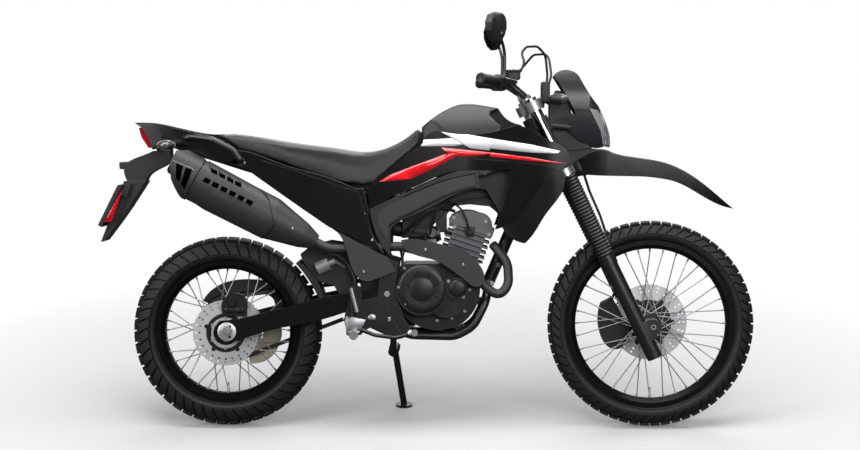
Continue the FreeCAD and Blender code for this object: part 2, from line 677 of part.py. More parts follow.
def front_fender():
    # A long beak over the front tyre, rounded across, its skirts turned down.
    body = side_pad("front_fender_body", fender_px, "fender_half * 2")
    half = sheet.fender_half
    back, front = (point(*place).x for place in fender_ends_px)
    plan = [(back - half, half * 0.6), (back, half * 0.86), ((back + front) / 2, half), (front - half, half * 0.72), (front + sheet.fit, half * 0.3)]
    trim(body, "front_fender_plan", "XY_Plane", both_sides(plan))
    top = sheet.lower_clamp_height - sheet.fit
    tab = box("fender_tab", Vector(-sheet.stem_radius, -half * 0.5, top - sheet.panel * 2), Vector(half * 1.5, half * 0.5, top))
    tab.Placement = steering * tab.Placement
    neck = rod("fender_neck", steer_point(half, 0, top - sheet.panel), spot(*fender_neck_px), "panel")
    eye = sheet.stanchion_radius + sheet.rim_flange + sheet.fit
    room = box("fender_room", Vector(-half, -sheet.leg_side, top), Vector(sheet.clamp_offset + sheet.stem_radius, sheet.leg_side, head_low))
    room.Placement = steering * room.Placement
    legs = [rod(f"fender_leg_room_{hand + 1}", steer_point(sheet.clamp_offset, hand * sheet.leg_side, sheet.bellows_bottom),
                steer_point(sheet.clamp_offset, hand * sheet.leg_side, head_low), eye) for hand in (-1, 1)]
    rooms = new("Part::Compound", "fender_rooms", Links=[room] + legs)
    finish("front_fender", cut("front_fender_cut", fused("front_fender_fuse", [body, tab, neck]), rooms))


instrument_px = (541, 91)


def instrument():
    # A small panel on the upper clamp, behind the screen.
    low = spot(*instrument_px)
    body = box("instrument_case", Vector(low.x, -sheet.cowl_half * 0.55, low.z - sheet.cowl_half * 0.4),
               Vector(low.x + sheet.cowl_half * 0.28, sheet.cowl_half * 0.55, low.z + sheet.cowl_half * 0.32))
    foot = box("instrument_foot", Vector(low.x - sheet.bar_radius, -sheet.bar_radius, low.z - sheet.cowl_half * 0.58),
               Vector(low.x + sheet.bar_radius, sheet.bar_radius, low.z - sheet.cowl_half * 0.3))
    finish("instrument", fused("instrument_fuse", [body, foot]))


def signal(name, centre, length):
    # A lamp in an egg shaped housing.
    radius = length / 2
    egg = new("Part::Ellipsoid", name + "_egg", Radius1=radius * 0.55, Radius2=radius, Radius3=radius * 0.8)
    egg.Placement = Placement(centre, Rotation())
    return egg


def front_signals():
    place = signal_place()
    lamp = signal("front_signal", place, signal_length)
    stub = cross_rod("front_stub", place.x, place.z, place.y, place.y + signal_length / 2, "bar_radius * 0.9")
    right = fused("front_signal_fuse", [lamp, stub])
    together("front_signals", [right, mirrored(right)])


def front_caliper():
    # It straddles the disc behind the left leg, on a bracket that reaches to the leg.
    at, gap = sheet.front_disc_side, sheet.disc_thickness / 2 + sheet.running_gap
    leg = sheet.leg_side - sheet.lower_leg_radius - sheet.fit
    near = at - gap - sheet.running_gap
    body = side_pad("front_caliper_body", front_caliper_px, f"{leg - near}", (leg + near) / 2)
    slot = cross_rod("front_caliper_slot", sheet.wheelbase, sheet.front_radius, at - gap, at + gap, "front_disc_radius + running_gap")
    place = spot(*front_lug_px)
    reach = Vector(spot(*front_leg_px).x, sheet.leg_side, place.z)
    lug = rod("front_caliper_lug", Vector(place.x, leg - sheet.bar_radius, place.z), reach, "bar_radius")
    foot = sheet.clamp_offset
    room = rod("front_leg_room", steer_point(foot, sheet.leg_side, sheet.leg_foot), steer_point(foot, sheet.leg_side, sheet.bellows_bottom),
               "lower_leg_radius + fit")
    rooms = new("Part::Compound", "front_caliper_rooms", Links=[slot, room])
    finish("front_caliper", cut("front_caliper_cut", fused("front_caliper_fuse", [body, lug]), rooms))


front_lug_px = (616, 312)
front_leg_px = (634, 312)
front_caliper_px = [[(612, 296)], [(626, 322)], [(630, 340)], [(612, 348), (603, 340)], [(598, 320), (601, 302)]]
cowl()
front_fender()
instrument()
front_signals()
front_caliper()

# Frame


def both_hands(points):
    return points, [Vector(place.x, -place.y, place.z) for place in points]


def stand_pivot():
    return Vector(sheet.stand_pivot_x, sheet.stand_pivot_y, sheet.stand_pivot_z)


def stand_ground():
    # The height of the ground at the foot, in the upright drawing.
    angle = math.radians(sheet.lean_angle)
    return sheet.foot_y * math.tan(angle) - tyre_drop / math.cos(angle)


def stand_axis():
    # It is square to the leg both when it is down and when it is folded back.
    down = Vector(sheet.foot_x, sheet.foot_y, stand_ground()) - stand_pivot()
    rise = math.radians(stand_fold_rise)
    folded = Vector(-math.cos(rise), stand_fold_side, math.sin(rise))
    return down.cross(folded).normalize()


stand_fold_rise, stand_fold_side = 6, 0.08
pivot_px, front_sprocket_px = (387.13, 293.7), (402.82, 287.17)
pivot_x, pivot_z = point(*pivot_px).x, point(*pivot_px).y


# How far out each panel stands, as a share of the tank's half width, by its place along the picture
cover_places = {
    "shroud": {364: 0.945, 420: 1.036, 450: 1.036, 480: 1.055, 520: 1.234, 550: 1.344, 580: 1.25},
    "shroud_guard": {498: 1.1, 525: 1.125, 540: 1.16, 570: 1.18},
    "frame_cover": {365: 1, 388: 1.036, 400: 1.054, 440: 1.1, 485: 1.078},
    "foot_cover": {325: 1.1, 365: 1.06, 388: 1.05, 405: 1.045},
    "side_cover": {230: 0.922, 270: 1.016, 331: 1.06, 405: 1.05},
}


def main_frame():
    # A spine and a front tube from the steering head, two loops under the engine, and the seat rails.
    low, high = steer_point(0, 0, head_low), steer_point(0, 0, head_high)
    head = rod("steering_head", low, high, "head_tube_radius")
    bore = rod("steering_bore", low, high, "stem_radius + fit")
    spine_start = steer_point(0, 0, (head_low + head_high) / 2)
    down_start = steer_point(0, 0, head_low + sheet.head_tube_radius * 2)
    spine_end, down_end = spot(*spine_end_px), spot(*down_end_px)
    pieces = [head, rod("spine", spine_start, spine_end, "spine_tube"), rod("front_tube", down_start, down_end, "spine_tube")]
    loop = [spot(u, v) + along_y * side * sheet.rail_side for u, v, side in loop_px]
    rail = [spot(u, v) + along_y * side * sheet.rail_side for u, v, side in seat_rail_px]
    strut = [spot(u, v) + along_y * side * sheet.rail_side for u, v, side in strut_px]
    for hand, points in enumerate(both_hands(loop)):
        pieces.append(bent_tube(f"loop_{hand}", points, "frame_tube", sheet.frame_tube * 6))
    for hand, points in enumerate(both_hands(rail)):
        pieces.append(bent_tube(f"seat_rail_{hand}", points, "rail_tube", sheet.frame_tube * 6))
    for hand, points in enumerate(both_hands(strut)):
        pieces.append(rod(f"strut_{hand}", points[0], points[1], "rail_tube"))
    for name, (u, v, share) in cross_px.items():
        place = spot(u, v)
        half = share * sheet.rail_side
        pieces.append(cross_rod(f"frame_{name}", place.x, place.z, -half, half, "rail_tube"))
    arm = sheet.arm_side + sheet.arm_thickness
    pieces.append(cross_rod("pivot_tube", pivot_x, pivot_z, -arm, arm, "frame_tube * 1.4"))
    for name, (u, v) in mount_px.items():
        place = spot(u, v)
        half = cover_places[name][u] * sheet.tank_half - sheet.panel - sheet.fit * 2
        for hand in (-1, 1):
            pieces.append(cross_rod(f"mount_{name}_{hand + 1}", place.x, place.z, hand * sheet.rail_side * 0.6, hand * half, "rail_tube * 0.7"))
    tank = spot(*tank_mount_px)
    half = sheet.spine_tube * tunnel_share / 2 - sheet.fit
    pieces.append(cross_rod("tank_mount", tank.x, tank.z, -half, half, "rail_tube"))
    rest = spot(*rest_bridge_px)
    half = arm + sheet.running_gap - sheet.fit
    pieces.append(cross_rod("rest_bridge", rest.x, rest.z, -half, half, "rail_tube"))
    pivot, axis = stand_pivot(), stand_axis()
    lug = Vector(pivot.x, sheet.rail_side * 0.74, spot(*stand_lug_px).z)
    inner_face = pivot - axis * (sheet.stand_radius + sheet.fit)
    pieces.append(rod("stand_lug", lug, inner_face - axis * sheet.stand_radius * 2, "stand_radius"))
    pieces.append(rod("stand_seat", inner_face - axis * sheet.stand_radius * 2, inner_face, "stand_radius * 1.6"))
    pieces.append(rod("stand_pin", inner_face - axis, pivot + axis * sheet.stand_radius * 1.5, "axle_bore"))
    frame = fused("frame_fuse", pieces)
    pivot_hole = cross_rod("pivot_bore", pivot_x, pivot_z, -sheet.arm_side * 2, sheet.arm_side * 2, "axle_radius + fit")
    finish("main_frame", cut("frame_cut", frame, new("Part::Compound", "frame_bores", Links=[bore, pivot_hole])))


spine_end_px = (418, 168)
down_end_px = (488, 283)
loop_px = [(489, 281, 0.25), (486, 300, 0.85), (474, 324, 1), (456, 334, 1), (412, 333, 1), (386, 324, 0.62), (384, 270, 0.62), (392, 215, 0.8), (418, 168, 0.3)]
seat_rail_px = [(402, 196, 0.75), (330, 187, 0.9), (250, 168, 0.75), (180, 146, 0.5)]
strut_px = [(386, 262, 0.62), (262, 171.5, 0.77)]
tank_mount_px = (500, 150)
tunnel_share = 3
rest_bridge_px, stand_lug_px = (385, 321), (393, 328)
mount_px = {"frame_cover": (388, 232), "foot_cover": (388, 264), "side_cover": (331, 187)}
cross_px = {"rear_bridge": (184, 147.2, 0.52), "seat_bridge": (330, 187, 0.9), "front_bridge": (486, 300, 0.85),
            "shock_bridge": (388, 243, 0.72)}


def swingarm():
    # Two box arms on the pivot, joined behind it by a bridge ahead of the tyre.
    inner, outer = sheet.arm_side, sheet.arm_side + sheet.arm_thickness
    arms = []
    for hand in (-1, 1):
        arms.append(side_pad(f"arm_{hand + 1}", arm_px, "arm_thickness", hand * (inner + outer) / 2, -(inner + outer) / 2))
    low, high = spot(*bridge_low_px), spot(*bridge_high_px)
    bridge = box("arm_bridge", Vector(low.x, -outer + sheet.fit, low.z), Vector(high.x, outer - sheet.fit, high.z))
    bolt = cross_rod("arm_pivot_bore", pivot_x, pivot_z, -2 * outer, 2 * outer, "frame_tube * 1.4 + fit")
    axle_hole = cross_rod("arm_axle_bore", 0, sheet.rear_radius, -2 * outer, 2 * outer, "axle_radius + fit")
    body = cut("arm_cut", fused("arm_fuse", arms + [bridge]), new("Part::Compound", "arm_bores", Links=[bolt, axle_hole]))
    finish("swingarm", body)


bridge_low_px, bridge_high_px = (350, 306), (366, 294)
arm_px = [[(280, 308), (300, 303), (330, 296), (362, 291)], [(379, 286)], [(390, 285), (396, 294), (389, 303)], [(376, 303)], [(355, 309), (320, 320), (280, 328), (240, 340.5)],
          [(219, 342)], [(214, 332), (219, 321)], [(237, 319.5)]]


def rear_axle():
    outer = sheet.arm_side + sheet.arm_thickness
    reach = outer + sheet.axle_head
    bolt = cross_rod("rear_bolt", 0, 0, -reach, reach, "axle_radius")
    heads = [cross_rod("rear_head", 0, 0, -reach, -outer - sheet.fit, "axle_head_radius * 1.25"),
             cross_rod("rear_nut", 0, 0, outer + sheet.fit, reach, "axle_head_radius * 1.25")]
    near = sheet.rear_disc_side + sheet.disc_thickness / 2 + sheet.fit
    far = sheet.sprocket_side + sheet.sprocket_thickness / 2 + sheet.fit
    spacers = [cross_rod("rear_spacer_right", 0, 0, -sheet.arm_side + sheet.fit, -near, "axle_head_radius"),
               cross_rod("rear_spacer_left", 0, 0, far, sheet.arm_side - sheet.fit, "axle_head_radius")]
    hole = cross_rod("rear_hollow", 0, 0, -2 * reach, 2 * reach, "axle_bore")
    finish("rear_axle", cut("rear_axle_cut", fused("rear_axle_fuse", [bolt] + heads + spacers), hole), wheel_point("rear"))


main_frame()
swingarm()
rear_axle()


# Drive

def belt_face(outset):
    # The band between two sprockets, set out or in from the pitch line.
    big, small = sheet.rear_sprocket_radius + outset, sheet.front_sprocket_radius + outset
    start = Vector(0, 0, sheet.rear_radius)
    end = spot(*front_sprocket_px)
    way = end - start
    angle = math.atan2(way.z, way.x)
    lean_in = math.asin((big - small) / way.Length)
    def at(centre, radius, turn):
        return centre + Vector(math.cos(turn), 0, math.sin(turn)) * radius
    top, bottom = angle + math.pi / 2 - lean_in, angle - math.pi / 2 + lean_in
    edges = [Part.LineSegment(at(start, big, top), at(end, small, top)).toShape(),
             Part.Arc(at(end, small, top), at(end, small, angle), at(end, small, bottom)).toShape(),
             Part.LineSegment(at(end, small, bottom), at(start, big, bottom)).toShape(),
             Part.Arc(at(start, big, bottom), at(start, big, angle + math.pi), at(start, big, top)).toShape()]
    return Part.Face(Part.Wire(edges))


def drive_chain():
    # A closed loop of two rows of side plates with a slot between them for the teeth.
    half = sheet.chain_height / 2
    band = belt_face(half).cut(belt_face(-half))
    slot = belt_face(half - sheet.rim_lip).cut(belt_face(-half - sheet.tooth_height))
    loop = band.extrude(along_y * sheet.chain_width)
    gap = slot.extrude(along_y * sheet.chain_slot)
    solid = new("Part::Feature", "chain_loop", Shape=loop)
    solid.Placement = Placement(along_y * (sheet.sprocket_side - sheet.chain_width / 2), Rotation())
    room = new("Part::Feature", "chain_gap", Shape=gap)
    room.Placement = Placement(along_y * (sheet.sprocket_side - sheet.chain_slot / 2), Rotation())
    chain = cut("chain_cut", solid, room)
    centre = spot(*front_sprocket_px)
    side = sheet.sprocket_side
    front = cross_rod("front_sprocket", centre.x, centre.z, side - sheet.chain_width / 2, side + sheet.chain_width / 2, "front_sprocket_radius - chain_height / 2 - fit")
    together("drive_chain", [chain, front])


def chain_guards():
    # A leaf above the upper run, and a guide that the lower run passes through, both open round the chain.
    half = sheet.chain_height / 2
    room = new("Part::Feature", "guard_room", Shape=belt_face(half + sheet.running_gap).extrude(along_y * (sheet.chain_width + sheet.rim_lip)))
    room.Placement = Placement(along_y * (sheet.sprocket_side - (sheet.chain_width + sheet.rim_lip) / 2), Rotation())
    wheel_room = cross_rod("guard_wheel_room", 0, sheet.rear_radius, 0, sheet.rear_crown + sheet.running_gap, "rear_radius + running_gap")
    rooms = new("Part::Compound", "guard_rooms", Links=[room, wheel_room])
    width = "(arm_side - sprocket_side - fit) * 2"
    pieces = []
    for name, outline in (("leaf", guard_leaf_px), ("guide", guard_guide_px)):
        pieces.append(cut(f"chain_{name}_cut", side_pad(f"chain_{name}", outline, width, sheet.sprocket_side), rooms))
    together("chain_guards", pieces)


guard_leaf_px = [[(217, 286), (262, 280), (300, 283)], [(300, 293)], [(284, 296)], [(282, 313)], [(274, 313)], [(270, 297), (250, 296), (206, 303)], [(202.5, 300.5)]]
guard_guide_px = [[(262, 337)], [(263, 323)], [(278, 323)], [(281, 332), (279, 343)], [(270, 358), (250, 364)], [(248, 358)]]
drive_chain()
chain_guards()


# Engine

crankcase_px = [[(440, 262)], [(474, 262)], [(480, 280), (478, 300), (468, 316), (455, 325)], [(440, 328)], [(418, 323), (400, 308)],
                [(395, 290), (397, 272), (405, 262)]]


engine_lug_px = [(470, 304), (486, 297)]


def crankcase():
    body = side_pad("crankcase_body", crankcase_px, "engine_half * 2")
    near = sheet.sprocket_side - sheet.chain_width / 2 - sheet.running_gap
    room = new("Part::Feature", "sprocket_room", Shape=belt_face(sheet.chain_height).extrude(along_y * sheet.engine_half))
    room.Placement = Placement(along_y * near, Rotation())
    wide = sheet.frame_tube * 1.4
    low, high = spot(*engine_lug_px[0]), spot(*engine_lug_px[1])
    front = box("front_engine_lug", Vector(low.x, -wide, low.z), Vector(high.x - sheet.rail_tube - sheet.fit, wide, high.z))
    deep = sheet.axle_head_radius
    start = pivot_x + sheet.frame_tube * 1.4 + sheet.fit
    rear = box("rear_engine_lug", Vector(start, -wide, pivot_z - deep), Vector(low.x, wide, pivot_z + deep))
    finish("crankcase", cut("crankcase_cut", fused("crankcase_fuse", [body, front, rear]), room))


def engine_covers():
    # The clutch cover with its filter cap on the right, the generator cover on the left.
    half = sheet.engine_half + sheet.fit
    pieces = []
    for name, hand, u, v, radius, depth in cover_px:
        place = spot(u, v, -half)
        near = hand * half
        inner = Vector(place.x, near, place.z)
        outer = Vector(place.x, near + hand * depth * sheet.clutch_depth, place.z)
        pieces.append(rod("cover_" + name, inner, outer, radius * photo_scale))
    right = fused("right_cover_fuse", [piece for piece, row in zip(pieces, cover_px) if row[1] < 0])
    left = fused("left_cover_fuse", [piece for piece, row in zip(pieces, cover_px) if row[1] > 0])
    together("engine_covers", [right, left])


cover_px = [("clutch", -1, 422, 289, 25, 1), ("filter", -1, 456, 287, 11, 0.8), ("crank", -1, 447, 297, 20, 0.6),
            ("generator", 1, 447, 291, 22, 0.9), ("drive", 1, 415, 291, 15, 0.6)]


def cylinder():
    # A finned block under a rounded head cover, leaned forward on the crankcase.
    foot, top = spot(*cylinder_foot_px), spot(*cylinder_top_px)
    way = (top - foot).normalize()
    tilt = math.degrees(math.atan2(way.x, way.z))
    tall = (top - foot).Length
    wide, deep = sheet.cylinder_half, sheet.cylinder_long
    core = new("Part::Box", "cylinder_core", Length=deep * 1.5, Width=wide * 1.5, Height=tall)
    core.Placement = Placement(Vector(-deep * 0.75, -wide * 0.75, 0), Rotation())
    pieces = [core]
    count = int(sheet.fin_count)
    for number in range(count):
        low = tall * (0.06 + 0.94 * number / count)
        fin = new("Part::Box", f"fin_{number}", Length=deep * 2, Width=wide * 2, Height=tall * 0.05)
        fin.Placement = Placement(Vector(-deep, -wide, low), Rotation())
        pieces.append(fin)
    head = new("Part::Box", "cylinder_head_block", Length=deep * 2.06, Width=wide * 2.06, Height=tall * 0.2)
    head.Placement = Placement(Vector(-deep * 1.03, -wide * 1.03, tall * 0.93), Rotation())
    pieces.append(head)
    block = fused("cylinder_fuse", pieces)
    block.Placement = Placement(foot, Rotation(along_y, tilt))
    cover = side_pad("head_cover", head_cover_px, "cylinder_half * 1.9")
    deck = spot(*deck_px).z + sheet.fit
    below = box("under_deck", Vector(0, -wide * 2, 0), Vector(sheet.wheelbase, wide * 2, deck))
    finish("cylinder", cut("cylinder_cut", fused("cylinder_head_fuse", [block, cover]), below))


cylinder_foot_px, cylinder_top_px, deck_px = (459, 264), (471.5, 226), (446, 262)
head_cover_px = [[(452, 215), (458, 211)], [(465, 209.5), (480, 212.5)], [(488, 216), (492, 222)], [(493, 231)], [(449, 219)]]


air_box_px = [(356, 230), (384, 198)]
boot_px = [(380, 226), (411, 230), (426, 232), (440, 234)]
air_hanger_px = (372, 192.25)


def intake():
    # The air box behind the engine, the boot and the throttle body.
    low, high = spot(*air_box_px[0]), spot(*air_box_px[1])
    case = box("air_box", Vector(low.x, -sheet.rail_side * 0.66, low.z), Vector(high.x, sheet.rail_side * 0.66, high.z))
    boot = rod("air_boot", spot(*boot_px[0]), spot(*boot_px[3]), "cylinder_half * 0.4")
    body = rod("throttle_body", spot(*boot_px[1]), spot(*boot_px[2]), "cylinder_half * 0.55")
    rail = spot(*air_hanger_px)
    thick = sheet.rail_tube * 0.6
    hanger = cross_rod("air_box_hanger", rail.x, rail.z - sheet.rail_tube - thick - sheet.fit, -sheet.rail_side * 0.88, sheet.rail_side * 0.88, thick)
    finish("intake", fused("intake_fuse", [case, boot, body, hanger]))


crankcase()
engine_covers()
cylinder()
intake()


# Exhaust

pipe_px = [(493, 244, 0.25), (508, 262, 0.63), (509, 285, 0.91), (499, 296, 0.98), (486, 287, 1), (470, 266, 1), (440, 255, 1), (400, 246, 1), (350, 248, 1)]


silencer_px = [(169, 165.6), (192, 177.5), (270, 218), (303, 235.4), (316, 242)]
silencer_grow_shares = [1, 1, 1, 0.6, 0.34]
cap_px = [[(172, 159)], [(170, 150)], [(205, 150)], [(205, 162)], [(184, 200)], [(181, 198)], [(175, 184), (173, 178)]]
can_px = [[(206, 162)], [(206, 140)], [(340, 140)], [(340, 280)], [(185, 280)], [(185, 199)]]


def silencer_ends():
    return spot(*silencer_px[0], -sheet.silencer_side), spot(*silencer_px[-1], -sheet.silencer_front_side)


def silencer_form(name, grow):
    # The oval muffler from its open end to the pipe, grown outward by a clearance.
    rear, front = silencer_ends()
    places = [rear + (front - rear) * ((u - silencer_px[0][0]) / (silencer_px[-1][0] - silencer_px[0][0])) for u, v in silencer_px]
    way = (places[-1] - places[0]).normalize()
    upright = way.cross(along_y).normalize()
    across = upright.cross(way)
    rings = []
    for place, share in zip(places, silencer_grow_shares):
        tall, wide = sheet.silencer_tall * share + grow, sheet.silencer_wide * share + grow
        rings.append(Part.Wire(Part.Ellipse(place + upright * tall, place + across * wide, place).toShape()))
    return new("Part::Feature", name, Shape=Part.makeLoft(rings, True, True))


def exhaust():
    # One pipe loops down from the head and back along the right side to a long silencer under the seat.
    side = -sheet.silencer_side
    rear, front = silencer_ends()
    way = (front - rear).normalize()
    body = silencer_form("silencer_body", 0)
    reach = sheet.silencer_tall * 3
    cap = common("silencer_cap", silencer_form("silencer_rear", sheet.panel + sheet.fit), side_pad("silencer_cap_window", cap_px, f"{reach}", side))
    can = common("silencer_can", body, side_pad("silencer_can_window", can_px, f"{reach}", side))
    outlet = rod("silencer_outlet", rear, rear + way * sheet.silencer_tall * 2, "pipe_radius * 1.1")
    together("silencer", [fused("silencer_fuse", [cap, can, outlet])])
    joint = front + way * sheet.fit
    points = [spot(u, v, -share * sheet.pipe_side) for u, v, share in pipe_px] + [joint + way * sheet.pipe_radius * 3, joint]
    finish("exhaust_pipe", bent_tube("pipe", points, "pipe_radius", sheet.pipe_radius * 6))


header_shield_px = [[(410, 238.5), (430, 241), (450, 246)], [(465, 250), (475, 259), (482, 268), (485, 280)], [(480, 286), (470, 284)],
                    [(462, 277), (450, 268.5), (440, 262), (420, 256), (405, 249)], [(401, 240)]]
rear_shield_px = [[(206, 161)], [(222, 161.5), (240, 172.5)], [(246, 178), (266, 201)], [(272, 225)], [(260, 240)], [(200, 210)], [(185.5, 199)]]
front_shield_px = [[(246.5, 174)], [(255, 182), (275, 200), (300, 219), (320, 229.5)], [(325, 240)], [(318, 243), (303, 257)], [(262, 241)], [(274, 226)], [(268, 200)]]


shield_bolt_px = [(426, 249.5), (463.5, 264)]
vent_rows_px = [((211, 167), (241, 182), 4), ((205, 181), (250, 204), 6)]


def vents():
    # Slanted slots through the rear guard, in two rows.
    slots = []
    side = -sheet.silencer_side
    lean_back = Vector(-sheet.vent_wide, 0, sheet.vent_long / 2)
    half_wide = along_x * sheet.vent_wide / 2
    for start, end, count in vent_rows_px:
        first, last = spot(*start, side), spot(*end, side)
        for number in range(count):
            centre = first + (last - first) * (number / (count - 1))
            corners = [centre - lean_back - half_wide, centre - lean_back + half_wide, centre + lean_back + half_wide, centre + lean_back - half_wide]
            face = Part.Face(Part.makePolygon(corners + corners[:1]))
            slots.append(face.extrude(-along_y * sheet.silencer_wide * 2))
    return new("Part::Feature", "vent_slots", Shape=Part.Compound(slots))


def exhaust_shields():
    # A flat guard on the front pipe, and two curved ones that follow the silencer.
    side = sheet.pipe_side + sheet.pipe_radius + sheet.running_gap
    plate = side_pad("header_shield", header_shield_px, "panel", -side - sheet.panel / 2)
    bosses = []
    for number, (u, v) in enumerate(shield_bolt_px):
        place = spot(u, v, -side)
        bosses.append(cross_rod(f"shield_boss_{number}", place.x, place.z, -side, -side + sheet.running_gap - sheet.fit, "pipe_radius * 0.4"))
    pieces = [fused("header_shield_fuse", [plate] + bosses)]
    near, reach = sheet.fit * 2, sheet.silencer_tall * 2
    shell = cut("shield_shell", silencer_form("shield_outer", near + sheet.panel), silencer_form("shield_inner", near))
    for name, outline in (("rear", rear_shield_px), ("front", front_shield_px)):
        window = side_pad(f"{name}_window", outline, f"{reach}", -sheet.silencer_side - reach / 2)
        piece = common(f"{name}_shield", shell, window)
        pieces.append(cut("vented_shield", piece, vents()) if name == "rear" else piece)
    together("exhaust_shields", pieces)


exhaust()
exhaust_shields()


def skid_rails():
    # The guard under the crankcase, between the frame loops.
    side = sheet.rail_side - sheet.frame_tube - sheet.fit
    finish("skid_rails", side_pad("skid_body", skid_px, f"{2 * side}"))


skid_px = [[(466, 328), (456, 336)], [(420, 336)], [(420, 332)], [(453, 332), (463, 325)]]


# Body panels

tank_px = [[(440, 113.5), (450, 108), (460, 104.5), (480, 105), (498, 108)], [(509, 120.5), (521, 124.5)], [(524, 150), (500, 170), (470, 176)],
           [(430, 176)], [(424, 150), (422.5, 127)]]
tank_ends_px, tank_heights_px = [(422, 120), (524, 120)], [(424, 176), (460, 104)]
tunnel_px = [[(415, 160)], [(530, 133)], [(530, 200)], [(415, 200)]]
seat_px = [[(260, 138.5), (300, 145), (340, 150), (365, 153), (390, 148), (410, 137), (421.5, 127)], [(421, 143)],
           [(410, 152), (390, 169), (375, 183)], [(345, 181), (300, 167), (243, 150)], [(222, 134)]]
seat_ends_px = [(222, 134), (422, 134)]
shroud_px = [[(530, 129), (545, 138), (560, 145), (570, 155), (574, 162.5)], [(566, 167)], [(550, 177), (530, 199), (514, 219), (495, 229)],
             [(505, 197), (511, 169)], [(478, 169.6), (450, 171.5), (420, 184.4), (400, 192.6), (371, 207)], [(366, 190)],
             [(376, 184), (391, 170), (411, 153)], [(423, 143)], [(424, 139), (437, 130.5)], [(475, 134), (515, 125)]]
guard_px = [[(563, 171), (562, 192)], [(555, 202), (545, 215), (536, 230), (525, 243)], [(515, 240), (500, 222)], [(522, 194), (543, 172)]]
frame_cover_px = [[(400, 194.5)], [(420, 186), (450, 173.5), (478, 171)], [(480, 188)], [(460, 192), (440, 202), (420, 212), (400, 221), (391, 228)], [(390, 256)], [(378, 238), (370, 209)]]
foot_cover_px = [[(345, 235), (360, 243), (388, 257)], [(396, 271)], [(370, 281)], [(362, 280), (345, 245), (331, 228)]]
side_cover_px = [[(250, 152), (280, 163), (320, 174.5), (355, 188)], [(364, 188.5)], [(368, 208.6)], [(375, 239), (385, 253.5)],
                 [(360, 241.2), (332, 227)], [(330, 227.5)], [(300, 207), (270, 186), (242, 166)], [(235, 150)]]
tail_px = [[(137, 122.5)], [(160, 124), (180, 128.5), (221.95, 134.07)], [(242.95, 150.07)], [(238, 158), (200, 152), (155, 149)], [(150, 136), (143, 126.5)]]


def fuel_tank():
    body = side_pad("tank_body", tank_px, "tank_half * 2")
    half = sheet.tank_half
    back, front = (point(*place).x for place in tank_ends_px)
    trim(body, "tank_plan", "XY_Plane", both_sides([(back - sheet.fit, half * 0.66), (back + half * 0.9, half), (front - half, half), (front, half * 0.4)]))
    low, high = (point(*place).y for place in tank_heights_px)
    trim(body, "tank_front", "YZ_Plane", upright_sides([(low - sheet.fit, half), ((low + high) / 2, half), (high, half * 0.55)]))
    hollow(body, "tank_tunnel", "XZ_Plane", picture_runs(tunnel_px), 0, f"spine_tube * {tunnel_share}")
    # The fork's tubes and clamps swing through the front of the tank from stop to stop.
    leg_reach = math.hypot(sheet.clamp_offset, sheet.leg_side)
    swing = leg_reach + sheet.stanchion_radius + sheet.rim_flange + sheet.running_gap * 1.4
    low = sheet.lower_clamp_height - sheet.clamp_thickness
    tall = bar_height - low
    rooms = [new("Part::Cylinder", "stem_room", Radius="stem_radius * 2 + running_gap * 1.4", Height=tall)]
    for hand in (-1, 1):
        room = new("Part::Cylinder", f"swing_room_{hand + 1}", Radius=swing, Height=tall, Angle=swing_degrees - 2 * sheet.rake_angle)
        start = 2 * sheet.rake_angle if hand > 0 else -swing_degrees
        room.Placement = Placement(origin, Rotation(along_z, start))
        rooms.append(room)
    rooms = new("Part::Compound", "steering_rooms", Links=rooms)
    rooms.Placement = steering * Placement(along_z * low, Rotation())
    finish("fuel_tank", cut("tank_cut", body, rooms))


swing_degrees = 144


def skin_pair(label, px):
    # A curved panel: a side outline that keeps only a thin strip, which bows outward as seen from above.
    sides = [(point(u, 0).x, share * sheet.tank_half) for u, share in cover_places[label].items()]
    outer = [Vector(along, -side, 0) for along, side in sides]
    inner = [Vector(along, -side + sheet.panel, 0) for along, side in reversed(sides)]
    wide = max(side for along, side in sides) + sheet.cut_over
    body = side_pad(label + "_body", px, f"{wide}", -wide / 2, -sides[len(sides) // 2][1])
    trim(body, label + "_strip", "XY_Plane", [outer[1:], [inner[0]], inner[1:], [outer[0]]])
    return [body, mirrored(body)]


def shrouds():
    # A wide outer panel on each side, and an inner guard behind its front edge, joined by short posts.
    outer, inner = skin_pair("shroud", shroud_px), skin_pair("shroud_guard", guard_px)
    place = point(*guard_post_px, -sheet.tank_half)
    post = cross_rod("guard_post", place.x, place.y, -sheet.tank_half * guard_post_shares[0], -sheet.tank_half * guard_post_shares[1], "bar_radius * 0.6")
    posts = [post, mirrored(post)]
    together("shrouds", [fused(f"shroud_fuse_{number}", [outer[number], inner[number], posts[number]]) for number in (0, 1)])


guard_post_px, guard_post_shares = (532, 190), (1.14, 1.27)


def seat():
    body = side_pad("seat_body", seat_px, "seat_half * 2")
    half = sheet.seat_half
    back, front = (point(*place).x for place in seat_ends_px)
    plan = [(back - sheet.fit, half * 0.7), (back + half * 2, half), (back + half * 3.2, half), (front, half * 0.66)]
    trim(body, "seat_plan", "XY_Plane", both_sides(plan))
    finish("seat", body)


def tail():
    # A wedge that is open below, over the ends of the seat rails.
    body = side_pad("tail_body", tail_px, "tail_half * 2")
    half = sheet.tail_half
    back, front = (point(*place).x for place in tail_ends_px)
    trim(body, "tail_plan", "XY_Plane", both_sides([(back - sheet.fit, half * 0.6), ((back + front) / 2, half * 0.9), (front, half)]))
    hollow(body, "tail_inside", "XZ_Plane", picture_runs(tail_inside_px), 0, "tail_half * 1.4")
    finish("tail_fender", body)


tail_ends_px = [(137, 122), (242, 150)]
tail_inside_px = [[(157, 130)], [(190, 134.5)], [(225, 141)], [(250, 152)], [(250, 170)], [(157, 160)]]


